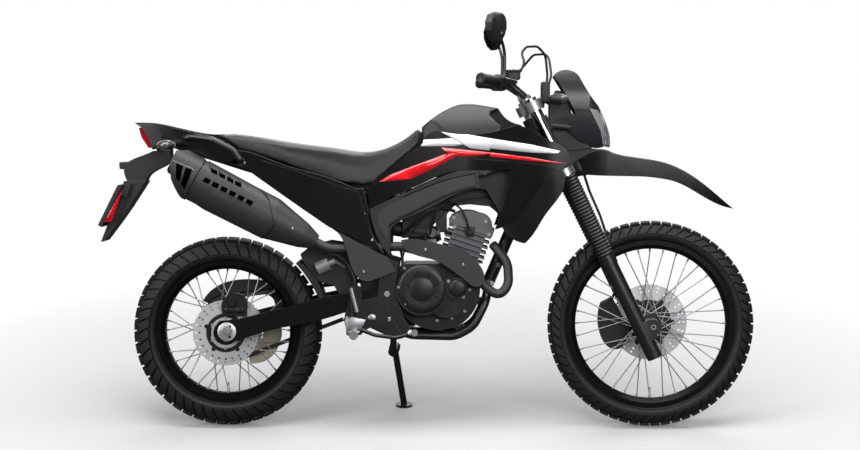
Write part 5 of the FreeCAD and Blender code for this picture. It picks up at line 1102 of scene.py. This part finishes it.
def gripSleeve(end, inward):  # flange outside, ribs in a row, collar inside
    r = barForm["gripRadius"]
    profile = [(0, -3), (11, -3), (13, -4), (r, -3), (r + 1.5, -1), (r + 1.5, 3), (r - 0.5, 5)]
    for number in range(barForm["ribs"]):
        at = 9 + number * (barForm["grip"] / mm - 22) / barForm["ribs"]
        profile += [(r - 0.9, at), (r + 0.1, at + 1.2), (r + 0.1, at + 4.4), (r - 0.9, at + 5.6)]
    profile += [(r, 111), (r * 1.3, 114), (r * 1.35, 120), (0, 120)]
    return lathe(profile, end, inward, 24)


def ahead(distance):
    return Vector((distance, 0, 0))


def fluidCup(low):  # the cup, its lid and the lid's two screws
    high = low + Vector(barForm["cup"])
    cup = slab(low, high - Vector((0, 0, barForm["lid"])), 0.006, 3)
    lid = slab((low.x - 0.001, low.y - 0.001, high.z - 0.0085), high + Vector((0.001, 0.001, -0.001)), 0.002)
    screws = [screw((low.x + 0.022, low.y + shift, high.z - 0.0012), upward, 3.2, 1.4) for shift in (0.010, 0.037)]
    return [cup, lid], screws


def makeControls():
    rubber, housing, metal = [], [], []
    for hand in bothSides:
        end, inward = barLine(hand)
        rubber.append(gripSleeve(end, inward))
        place = end + inward * barForm["grip"]
        near = place + inward * barForm["perchAt"]
        along, forward = barForm["rootAt"]
        blocks = [slab(*barForm[block]) for block in ("pod", "button", "root")]
        for block in blocks[:2]:
            block.transform(aimed(place, inward))
        blocks[2].transform(Matrix.Translation(near + inward * along + ahead(forward)))
        housing += blocks[:2] + [lathe(barForm["perch"], near, inward, 20), blocks[2]]
        holder = near + inward * barForm["holderAt"]
        pivot = holder + ahead(barForm["pivot"])
        tip = end + inward * barForm["gripRadius"] * mm + ahead(barForm["tip"])
        bend = [pivot.lerp(tip, share) + ahead(out) for share, out in barForm["bend"]]
        metal.append(tube([pivot, *bend, tip], barForm["blade"]))
        metal.append(lathe(barForm["ball"], tip, upward, 16))
        metal.append(screw(pivot + Vector((0, 0, 0.010)), upward, 5, 4, "hex"))
        start, after = (spot(*point) for point in barForm["cables"][hand])
        rubber.append(tube([start.lerp(after, 0.5), start.lerp(after, 0.15), start.lerp(holder, 0.5),
                            holder + ahead(0.008)], barForm["boot"]))
        if hand < 0:
            cup, screws = fluidCup(place + inward * barForm["cupAt"] + Vector(barForm["cupLow"]))
            housing += cup
            metal += screws
    meshPiece("gripSleeves", gather(rubber), "mouldingRubber", "steering", ("hand_controls",), smooth=30)
    meshPiece("switchPods", gather(housing), "matteBlackPolypropylene", "steering", smooth=38, weigh=True)
    meshPiece("leverBlades", gather(metal), "satinBlackPowderCoat", "steering", smooth=38)


mirrorForm = {  # a pebble shaped shell: outline across and up, then how it narrows towards its back
    "outline": [(-0.50, 0.02), (-0.49, 0.30), (-0.40, 0.46), (-0.22, 0.50), (0.12, 0.49), (0.36, 0.40), (0.49, 0.16),
                (0.46, -0.10), (0.28, -0.36), (0.06, -0.50), (-0.16, -0.48), (-0.36, -0.28)],
    "steps": ((0.45, 1.0), (0.35, 0.80), (0.2, 0.55)),  # share of the depth, share of the size
    "wide": 0.135, "tall": 0.102, "deep": 0.028, "turn": 26,
    "foot": 0.1728, "footUp": 0.0179, "rise": 0.08976, "centre": (-0.02475, 0.0363, 0.066), "stem": 0.005,
    "nut": [(0, 0), (9, 0), (10, 3), (9, 12), (6.5, 26), (0, 27)],
    "ball": [(0, 0), (9, 0), (9, 9), (7, 12), (0, 12)],
    "pane": 0.0008, "paneWide": 0.93, "paneTall": 0.91,
}


def mirrorOutline(bm, hand, x, wide=1.0, tall=1.0):  # one face of the mirror's shape, or a share of it
    return bm.faces.new([bm.verts.new((x, hand * a * mirrorForm["wide"] * wide, b * mirrorForm["tall"] * tall))
                         for a, b in mirrorForm["outline"]])


def mirrorShell(hand):
    bm, deep = bmesh.new(), mirrorForm["deep"]
    face = mirrorOutline(bm, hand, -deep / 2)
    for step, narrow in mirrorForm["steps"]:
        grown = bmesh.ops.extrude_face_region(bm, geom=[face])
        face = [part for part in grown["geom"] if isinstance(part, bmesh.types.BMFace)][0]
        bmesh.ops.translate(bm, vec=(deep * step, 0, 0), verts=face.verts)
        bmesh.ops.scale(bm, vec=(1, narrow, narrow), verts=face.verts)
    faceOut(bm)
    back = min(bm.faces, key=lambda f: f.calc_center_median().x)
    bmesh.ops.inset_region(bm, faces=[back], thickness=0.004, depth=-0.002, use_even_offset=True)
    bevelled(bm, sharpEdges(bm, 24), 0.0035, 3)
    return bm


def mirrorPane(hand):
    bm = bmesh.new()
    face = mirrorOutline(bm, hand, -mirrorForm["deep"] / 2 + 0.0012, mirrorForm["paneWide"], mirrorForm["paneTall"])
    grown = bmesh.ops.extrude_face_region(bm, geom=[face])
    bmesh.ops.translate(bm, vec=(-mirrorForm["pane"], 0, 0), verts=newVerts(grown))
    faceOut(bm)
    return bm


def makeMirrors():
    shells, panes, stems = [], [], []
    for hand in bothSides:
        end, inward = barLine(hand)
        foot = end + inward * mirrorForm["foot"] + Vector((0, 0, mirrorForm["footUp"]))
        knee = foot + Vector((0, 0, mirrorForm["rise"]))
        back, out, up = mirrorForm["centre"]
        centre = Vector((knee.x + back, foot.y + hand * out, knee.z + up))
        place = Matrix.Translation(centre) @ Matrix.Rotation(math.radians(hand * mirrorForm["turn"]), 4, "Z")
        for parts, make in ((shells, mirrorShell), (panes, mirrorPane)):
            parts.append(make(hand))
            parts[-1].transform(place)
        joint = centre + Vector((0.006, 0, -0.020))
        stems.append(tube([foot - Vector((0, 0, 0.006)), foot.lerp(knee, 0.5), knee - Vector((0, 0, 0.012)),
                           knee.lerp(centre, 0.35), joint], mirrorForm["stem"], 4))
        stems.append(lathe(mirrorForm["nut"], foot - Vector((0, 0, 0.004)), upward, 20))
        stems.append(lathe(mirrorForm["ball"], joint, (1, 0, 0), 18))
    meshPiece("mirrorShells", gather(shells), "matteBlackPolypropylene", "steering", ("mirrors",), weigh=True)
    meshPiece("mirrorGlass", gather(panes), "silveredGlass", "steering", smooth=30)
    meshPiece("mirrorStems", gather(stems), "satinBlackPowderCoat", "steering", smooth=45)


makeControls()
makeMirrors()
print("handlebar ready")


# Lamp: a thin clear lens over a bright bowl with a bulb's cap, and stepped bezels above and below

lampForm = {
    "thick": 0.0022, "centre": (1.2580, 0, 1.006), "way": (0.953, 0, 0.303),
    "bowl": [(0, 1.5), (9, 1.5), (20, 4), (31, 8.5), (37, 12), (40, 12), (40, 0.2), (0, 0.2)],
    "cup": [(0, 11), (7, 10.4), (9.5, 8), (9.5, 1.4), (0, 1.4)],
    "bezels": ((-0.054, 0.038), (-0.047, 0.043), (0.047, 0.043), (0.054, 0.040)),  # how far up, half width
}


def makeHeadlight():
    lens = uprightCopy("headlight_lens")
    faceOut(lens)
    rear = [f for f in lens.faces if f.normal.x < 0.12 and abs(f.normal.y) < 0.9]
    bmesh.ops.delete(lens, geom=rear, context="FACES")
    bmesh.ops.solidify(lens, geom=lens.faces[:], thickness=lampForm["thick"])
    meshPiece("headlightLensShell", lens, "clearPolycarbonate", "steering", ("headlight_lens",), smooth=40)
    centre, way = Vector(lampForm["centre"]), Vector(lampForm["way"]).normalized()
    parts = [lathe(lampForm[form], centre, way, 40) for form in ("bowl", "cup")]
    up = way.cross(Vector(toRight))
    for shift, half in lampForm["bezels"]:
        bar = slab((0.0004, -half, -0.0026), (0.006, half, 0.0026), 0.0008)
        bar.transform(Matrix.Translation(centre + up * shift) @ way.to_track_quat("X", "Z").to_matrix().to_4x4())
        parts.append(bar)
    meshPiece("lampBowl", gather(parts), "vacuumChromedPlastic", "steering", smooth=40)


displayForm = {
    "at": (541, 91), "low": (-0.0012, -0.044, -0.026), "high": (0.002, 0.044, 0.020), "edge": 0.0008,
    "knob": [(0, 3), (4, 3), (5, 0), (0, 0)], "knobs": [(0, -0.030, -0.032), (0, 0.030, -0.032)],
}


def makeInstrument():
    at = spot(*displayForm["at"])
    pane = slab(at + Vector(displayForm["low"]), at + Vector(displayForm["high"]), displayForm["edge"])
    meshPiece("displayPane", pane, "displayGlass", "steering", smooth=30)
    knobs = [lathe(displayForm["knob"], at + Vector(place), (-1, 0, 0), 16) for place in displayForm["knobs"]]
    meshPiece("displayKnobs", gather(knobs), "mouldingRubber", "steering", smooth=30)


makeHeadlight()
makeInstrument()
print("lamp and instrument ready")


# Raised fields and trim on the panels, and painted shade in their vents, grooves and ridges

def ventRow(corners, across, down, count):  # one slanted opening repeated along a row
    return [[(u + across * n, v + down * n) for u, v in corners] for n in range(count)]


ventsHigh = ventRow([(210.8, 167.5), (217.3, 170.6), (217.3, 174.8), (211.2, 171.7)], 8, 4.2, 4)
ventsLow = ventRow([(205, 176.7), (211, 179.6), (208.4, 183.8), (202.6, 181)], 8.5, 4.35, 6)
fields = {  # name: (node, sides, paint, how far it stands out, width of its rounding, outlines), mm
    "framePad": ("frame_covers", bothSides, "grainedGreyPolypropylene", 1.4, 0.5,
                 [[(404, 197.5), (424, 189), (450, 179), (474, 174.5), (475.5, 184.5), (458, 188.5), (436, 198.5),
                   (412, 211), (399, 216.5), (389, 224), (388.5, 243), (377.5, 222), (381, 209)]]),
    "shroudField": ("shrouds", bothSides, "glossBlackAbs", 1.6, 0.6,
                    [[(515, 166), (540, 166.5), (561, 168.5), (548, 175), (529, 196.5), (513, 216), (501, 221),
                      (503, 205)]]),
    "shroudUpper": ("shrouds", bothSides, "glossBlackAbs", 1.2, 0.5,
                    [[(471, 158), (500, 160), (530, 163), (556, 166), (512, 165.6), (480, 166)]]),
    "sideField": ("side_covers", bothSides, "glossBlackAbs", 1.2, 0.5,
                  [[(262, 160), (300, 172), (345, 187.5), (358, 191), (364, 209), (371, 236), (345, 224), (318, 205),
                    (290, 184)]]),
    # The vents are dark sheets on the shield: painted shade of the openings.
    "ventRows": ("exhaust_shields", rightSide, "ventShadow", 0.9, 0, ventsHigh + ventsLow),
    # A bright chromed patch on the cowl's side where the lens wraps round: the reflector behind the glass, with the
    # lens's bright reflection painted in.
    "lensCheek": ("headlight_cowl", bothSides, "vacuumChromedPlastic", 1.6, 0.4,
                  [[(589, 108), (597, 110), (601, 116), (605, 126), (609, 136), (609, 147), (603, 146), (600, 130),
                    (594, 118)]]),
    # Dark strips between the silencer cap's ridges: painted shade.
    "capRidge": ("silencer", rightSide, "ventShadow", 0.8, 0,
                 [[(176, 163), (183, 166), (179, 182), (175.5, 178)],
                  [(185.5, 167), (192, 169.5), (184.5, 189), (180.5, 184)]]),
}
for name, (node, hands, paint, lift, edge, outlines) in fields.items():
    for hand in hands:
        inlay(name, node, hand, outlines, paint, lift * mm, edge * mm)

beads = {  # name: (paint, sides, radius in mm, picture points of each run)
    "coverBeads": ("silverCastAluminium", bothSides, 2.0, [
        [(365, 213), (370, 224), (377, 237), (383, 248), (387, 254)]]),
    # Dark beads along the frame cover's pad: painted shade standing for its grooves.
    "coverGrooves": ("ventShadow", bothSides, 1.2, [
        [(404, 196), (424, 187.5), (450, 177.5), (476, 173.2)],
        [(389, 226), (399, 218.3), (412, 212.8), (436, 200.3), (458, 190.2), (476, 186.4)]]),
    "capBead": ("zincPlatedSteel", rightSide, 0.9, [
        [(172.5, 160), (184, 165), (196, 169.5), (190, 184), (184.5, 195)]]),
}
beadLift = 0.4 * mm


def alongSkin(points, hand, radius):  # a thin bead that follows a panel through picture points
    hits = [onSkin(u, v, hand)[0] for u, v in points]
    return tube([place + Vector((0, hand * beadLift, 0)) for place in hits if place], radius * mm, 2)


for name, (paint, hands, radius, runs) in beads.items():
    meshPiece(name, gather([alongSkin(run, hand, radius) for hand in hands for run in runs]), paint, smooth=50)
print("fields and trim ready")


# Tail: side reflectors on the blank plate, its lamp, signal rims

tailForm = {
    "reflector": [(121.8, 188), (119, 198), (110.5, 221.5), (103.2, 222), (109.5, 210.5)],
    "hinge": [(124, 184.5), (131, 183.5), (125.5, 198), (119.5, 194.5)],
    "lampBox": [(118.5, 162), (130, 161.5), (130, 169), (119, 169)],
    "strip": [(127.6, 170.5), (129.6, 170.5), (129.8, 181.5), (127.8, 181.5)],
    "signal": (166, 145, -0.154), "flat": 17.2 / 30.6,
    "rim": [(29.0, -1.6), (31.4, -1.2), (31.4, 1.2), (29.0, 1.6)],
}
reflectors = mirroredToo(prism(tailForm["reflector"], -0.086, -0.0805, 0.001))
meshPiece("plateReflectors", reflectors, "redAcrylic", smooth=30)
meshPiece("tailStrip", prism(tailForm["strip"], -0.030, 0.030, 0.0006), "redAcrylic", smooth=30)
lampParts = [prism(tailForm["lampBox"], -0.026, 0.026, 0.003),
             mirroredToo(prism(tailForm["hinge"], -0.0665, -0.054, 0.0015))]
meshPiece("plateLamp", gather(lampParts), "matteBlackPolypropylene", smooth=38, weigh=True)
rim = lathe(tailForm["rim"], origin, toRight, 40, hollow=True)
bmesh.ops.scale(rim, vec=(1, 1, tailForm["flat"]), verts=rim.verts)
rim.transform(Matrix.Translation(spot(*tailForm["signal"])))
meshPiece("signalRims", mirroredToo(rim), "zincPlatedSteel", smooth=50)
print("tail ready")


# Brakes: disc carriers, toothed ring, hub plate and caliper parts; axle ends

brakeForm = {  # radii and heights in mm
    "rearCarrier": [(31, 0), (65.5, 0), (65.5, 0.8), (31, 0.8)],
    "rearButton": [(0, 0), (7.5, 0), (6.5, 2.2), (0, 2.2)],
    "frontCarrier": [(26, 0), (76, 0), (76, 0.8), (26, 0.8)],
    "frontButton": [(0, 0), (8.5, 0), (8.5, 0.8), (0, 0.8)],
    "hubPlate": [(9, 0), (31, 0), (31, 2.5), (29, 3.5), (9, 3.5)],
    "hole": [(0, 0), (4.6, 0), (4.6, 0.4), (0, 0.4)], "holeRing": 0.020, "holesAt": (60, 180, 300),
    "piston": [(0, 9), (13, 9), (15, 7), (15, -6), (0, -6)], "pin": [(0, 6), (7, 6), (8, 4), (8, -6), (0, -6)],
    "frontPiston": [(0, 6), (14, 6), (16, 3), (16, -4), (0, -4)],
    "ring": (41, 52), "ringTeeth": 32, "ringDeep": 2, "toothCut": 0.35,
}


def aroundHub(end, y, reach=0, turn=0):  # a place at a distance from a wheel's axle
    x, _, z = hubs[end]
    return (x + reach * math.cos(turn), y, z + reach * math.sin(turn))


def discCarrier(end, way, y, buttons, reach, first, steps):  # a dark ring on the disc with its buttons
    parts = [lathe(brakeForm[f"{end}Carrier"], aroundHub(end, y), way, steps, hollow=True)]
    for number in range(buttons):
        place = aroundHub(end, y, reach, math.tau * number / buttons + first)
        parts.append(lathe(brakeForm[f"{end}Button"], place, way, 16))
    return parts


def toothedRing(place, way):  # every second rim face is pushed in
    (inner, outer), deep = brakeForm["ring"], brakeForm["ringDeep"]
    profile = [(inner, 0), (outer, 0), (outer, deep), (inner, deep)]
    bm = lathe(profile, place, way, brakeForm["ringTeeth"] * 2, hollow=True)
    centre, axis, middle = Vector(place), Vector(way), (inner + outer) / 2 * mm
    rims = [f for f in bm.faces
            if abs(f.normal.dot(axis)) < 0.3 and (f.calc_center_median() - centre).length > middle]
    cut = (outer - inner) * mm * brakeForm["toothCut"]
    for face in rims[1::2]:
        bmesh.ops.translate(bm, vec=-face.normal * cut, verts=face.verts)
    return bm


def makeDiscs():
    rear = discCarrier("rear", toRight, -0.0741, 5, 0.068, 0.3, 48)
    meshPiece("rearDiscCarrier", gather(rear), "satinBlackPowderCoat", "rear_wheel", smooth=30)
    front = [part for y in (0.0452, 0.0500) for part in discCarrier("front", toLeft, y, 6, 0.079, 0, 60)]
    meshPiece("frontDiscCarrier", gather(front), "satinBlackPowderCoat", "front_wheel", smooth=30)
    ring = toothedRing(aroundHub("rear", -0.0750), toRight)
    meshPiece("brakeRing", ring, "groundStainless", "rear_wheel", smooth=30)


def makeHubPlate():
    plate = lathe(brakeForm["hubPlate"], spot(226, 332.2, -0.116), toRight, 36, hollow=True)
    meshPiece("hubPlate", plate, "groundStainless", smooth=30)
    # Thin dark discs where the plate has holes: painted shade inside them.
    face = spot(226, 332.2, -0.1196)
    holes = []
    for degrees in brakeForm["holesAt"]:
        turn = math.radians(degrees)
        place = face + Vector((math.cos(turn), 0, math.sin(turn))) * brakeForm["holeRing"]
        holes.append(lathe(brakeForm["hole"], place, toRight, 16))
    meshPiece("hubPlateHoleShades", gather(holes), "matteBlackPolypropylene", smooth=30)
    nuts = [screw(spot(226.5, 331.5, -0.125), toRight, 12, 8, "hex"),
            screw(aroundHub("rear", 0.125), toLeft, 12, 8, "hex")]
    meshPiece("rearAxleNuts", gather(nuts), "zincPlatedSteel", smooth=30)


def makeCaliperParts():
    caliper = [lathe(brakeForm["piston"], spot(231, 302, -0.0895), toRight, 24),
               lathe(brakeForm["pin"], spot(241, 309, -0.0895), toRight, 18),
               slab(spot(224, 313, -0.098), spot(243, 308, -0.086), 0.003)]
    caliper += [screw(spot(u, 310.5, -0.098), toRight, 5, 5, "hex") for u in (227, 240)]
    meshPiece("rearCaliperParts", gather(caliper), "satinBlackPowderCoat", smooth=35)
    pistons = []
    for u, v in ((607, 314), (610, 330)):
        place = spot(u, v)
        pistons.append(lathe(brakeForm["frontPiston"], (place.x, 0.0965, place.z), toLeft, 24))
    meshPiece("frontCaliperParts", gather(pistons), "satinBlackPowderCoat", "steering", smooth=35)


makeDiscs()
makeHubPlate()
makeCaliperParts()
print("brakes ready")


# Inside: dark plates, boot and box that close the view between the panels

fillers = {  # name: (body, paint, half width, outline in the picture)
    "tankUnderside": ("chassis", "matteBlackPolypropylene", 0.084,
                      [(468, 172), (512, 165), (516, 224), (506, 226), (496, 206), (486, 190), (468, 186)]),
    "airBoot": ("chassis", "mouldingRubber", 0.034,
                [(402, 218), (420, 202), (455, 190), (486, 186), (500, 196), (500, 207), (470, 204), (450, 206),
                 (436, 222), (424, 236), (402, 238)]),
    "headStay": ("chassis", "satinBlackPowderCoat", 0.018,
                 [(436, 200), (448, 189), (486, 186), (506, 200), (512, 222), (503, 226), (497, 212), (486, 203),
                  (470, 200), (455, 205), (447, 214), (447, 232), (436, 232)]),
    "seatFootPlate": ("chassis", "matteBlackPolypropylene", 0.050,
                      [(418, 132), (428, 131), (431, 150), (412, 164), (392, 180), (380, 192), (350, 189), (352, 177),
                       (370, 177), (398, 154), (414, 141)]),
    "innerMudguard": ("chassis", "matteBlackPolypropylene", 0.050,
                      [(303, 262), (300, 254), (310, 246), (330, 241), (356, 245), (356, 300), (341, 298), (334, 286),
                       (316, 281)]),
    "linkPlates": ("chassis", "satinBlackPowderCoat", 0.036,
                   [(350, 246), (388, 254), (388, 292), (372, 302), (362, 292), (356, 268)]),
    "lampHousing": ("steering", "matteBlackPolypropylene", 0.052,
                    [(549, 104), (556, 90), (566, 92), (570, 108), (574, 122), (580, 138), (592, 148), (576, 150),
                     (557, 152), (553, 140), (549, 125)]),
    "fenderStay": ("steering", "matteBlackPolypropylene", 0.045,
                   [(553, 140), (566, 140), (580, 147), (600, 149), (602, 155), (590, 160), (575, 164), (553, 166)]),
}
for name, (body, paint, half, outline) in fillers.items():
    meshPiece(name, prism(outline, -half, half, 0.003), paint, body, smooth=38, weigh=True)

insideForm = {
    "rest": [(357, 301), (386, 295), (393, 320), (404, 338), (385, 335), (368, 327), (359, 317)],
    "box": [(300, 180), (352, 192), (396, 200), (393, 225), (384, 250), (360, 243), (344, 232), (332, 214)],
    "pivot": [(386, 258), (399, 262), (396, 282), (398, 300), (404, 318), (414, 333), (400, 335), (385, 325),
              (377, 306), (379, 280)],
    "cylinder": [(345, 320), (352, 317), (366, 320), (362, 328), (352, 338), (346, 335)],
    "buttons": ((372, 318, 13), (345.5, 318.6, 10), (389, 319.5, 8)),  # picture point and radius in mm
    "hose": [(351, 288, -0.155), (353.5, 298, -0.155), (357, 312, -0.155)],
}


def makeInside():
    silver = [prism(insideForm["cylinder"], -0.172, -0.160, 0.002)]
    for u, v, r in insideForm["buttons"]:
        silver.append(lathe([(0, 0), (r, 0), (r, 3), (r * 0.8, 4.5), (0, 4.5)], spot(u, v, -0.123), toRight, 20))
    silver.append(tube([spot(*point) for point in insideForm["hose"]], 0.0085))
    meshPiece("rearMasterCylinder", gather(silver), "silverCastAluminium", smooth=38)
    box = prism(insideForm["box"], -0.062, 0.062, 0.006)
    meshPiece("airCleanerBox", box, "matteBlackPolypropylene", smooth=38, weigh=True)
    plates = [prism(insideForm["pivot"], -0.1198, -0.1168, 0.001), prism(insideForm["rest"], -0.1236, -0.1206, 0.001)]
    meshPiece("pivotPlates", mirroredToo(gather(plates)), "satinBlackPowderCoat", smooth=38, weigh=True)


springForm = {"low": (359, 298), "high": (388, 243), "skip": (0.050, 0.046), "turns": 7, "steps": 20, "wire": 0.0042,
              "coil": 0.0305}


def makeSpring():
    low, high = spot(*springForm["low"]), spot(*springForm["high"])
    way = (high - low).normalized()
    start, end = low + way * springForm["skip"][0], high - way * springForm["skip"][1]
    steps = springForm["turns"] * springForm["steps"]
    wire = bmesh.new()
    made = bmesh.ops.create_circle(wire, cap_ends=True, segments=8, radius=springForm["wire"])
    bmesh.ops.rotate(wire, matrix=Matrix.Rotation(math.radians(90), 3, "X"), verts=made["verts"])
    bmesh.ops.translate(wire, vec=(springForm["coil"], 0, 0), verts=made["verts"])
    bmesh.ops.spin(wire, geom=wire.faces[:], cent=origin, axis=upward, dvec=(0, 0, (end - start).length / steps),
                   angle=math.tau * springForm["turns"], steps=steps, use_merge=False)
    closeUp(wire)
    wire.transform(aimed(start, way))
    meshPiece("shockSpring", wire, "satinBlackPowderCoat", smooth=50)


pegForm = {"at": (357, 329), "half": 0.020, "from": 0.130, "to": 0.212, "low": 0.006, "high": 0.014, "teeth": 6,
           "pitch": 0.0132, "row": 0.015, "toothUp": 0.0170}


def makePegTreads():
    pegs = []
    at = spot(*pegForm["at"])
    for hand in bothSides:
        low, high = sorted((hand * pegForm["from"], hand * pegForm["to"]))
        pegs.append(slab((at.x - pegForm["half"], low, at.z + pegForm["low"]),
                         (at.x + pegForm["half"], high, at.z + pegForm["high"]), 0.002))
        for step in range(pegForm["teeth"]):
            y = hand * (pegForm["from"] + 0.008 + step * pegForm["pitch"])
            for side in (-pegForm["row"], pegForm["row"]):
                tooth = bmesh.new()
                bmesh.ops.create_cone(tooth, cap_ends=True, segments=4, radius1=0.0045, radius2=0.0018, depth=0.007)
                tooth.transform(Matrix.Translation((at.x + side, y, at.z + pegForm["toothUp"])))
                pegs.append(tooth)
    meshPiece("pegTreads", gather(pegs), "silverCastAluminium", smooth=30)


outletForm = {
    "mouth": (171.5, 168, -0.172), "beyond": (150, 156, -0.172),
    "pipe": [(17, -16), (19, -16), (19, 5), (17, 5)], "soot": [(0, 1.2), (16.9, 1.2), (16.9, 0), (0, 0)],
    "cap": [(0, 4), (20, 4), (21, 2), (36, 1.5), (39, -1), (39, -8), (0, -8)],
}


def makeOutlets():  # the silencer's outlet and the fuel cap
    mouth = spot(*outletForm["mouth"])
    way = spot(*outletForm["beyond"]) - mouth
    meshPiece("tailPipe", lathe(outletForm["pipe"], mouth, way, 32, hollow=True), "heatPaint", smooth=40)
    # A dark disc across the pipe's mouth: painted shade of its bore.
    meshPiece("tailPipeBoreShade", lathe(outletForm["soot"], mouth, way, 32), "mouldingRubber", smooth=40)
    top = spot(474, 105)
    cap = lathe(outletForm["cap"], (top.x, 0, top.z - 0.004), (0.03, 0, 1), 40)
    meshPiece("fuelCap", cap, "satinBlackPowderCoat", smooth=30)


makeInside()
makeSpring()
makePegTreads()
makeOutlets()
print("inner parts ready")
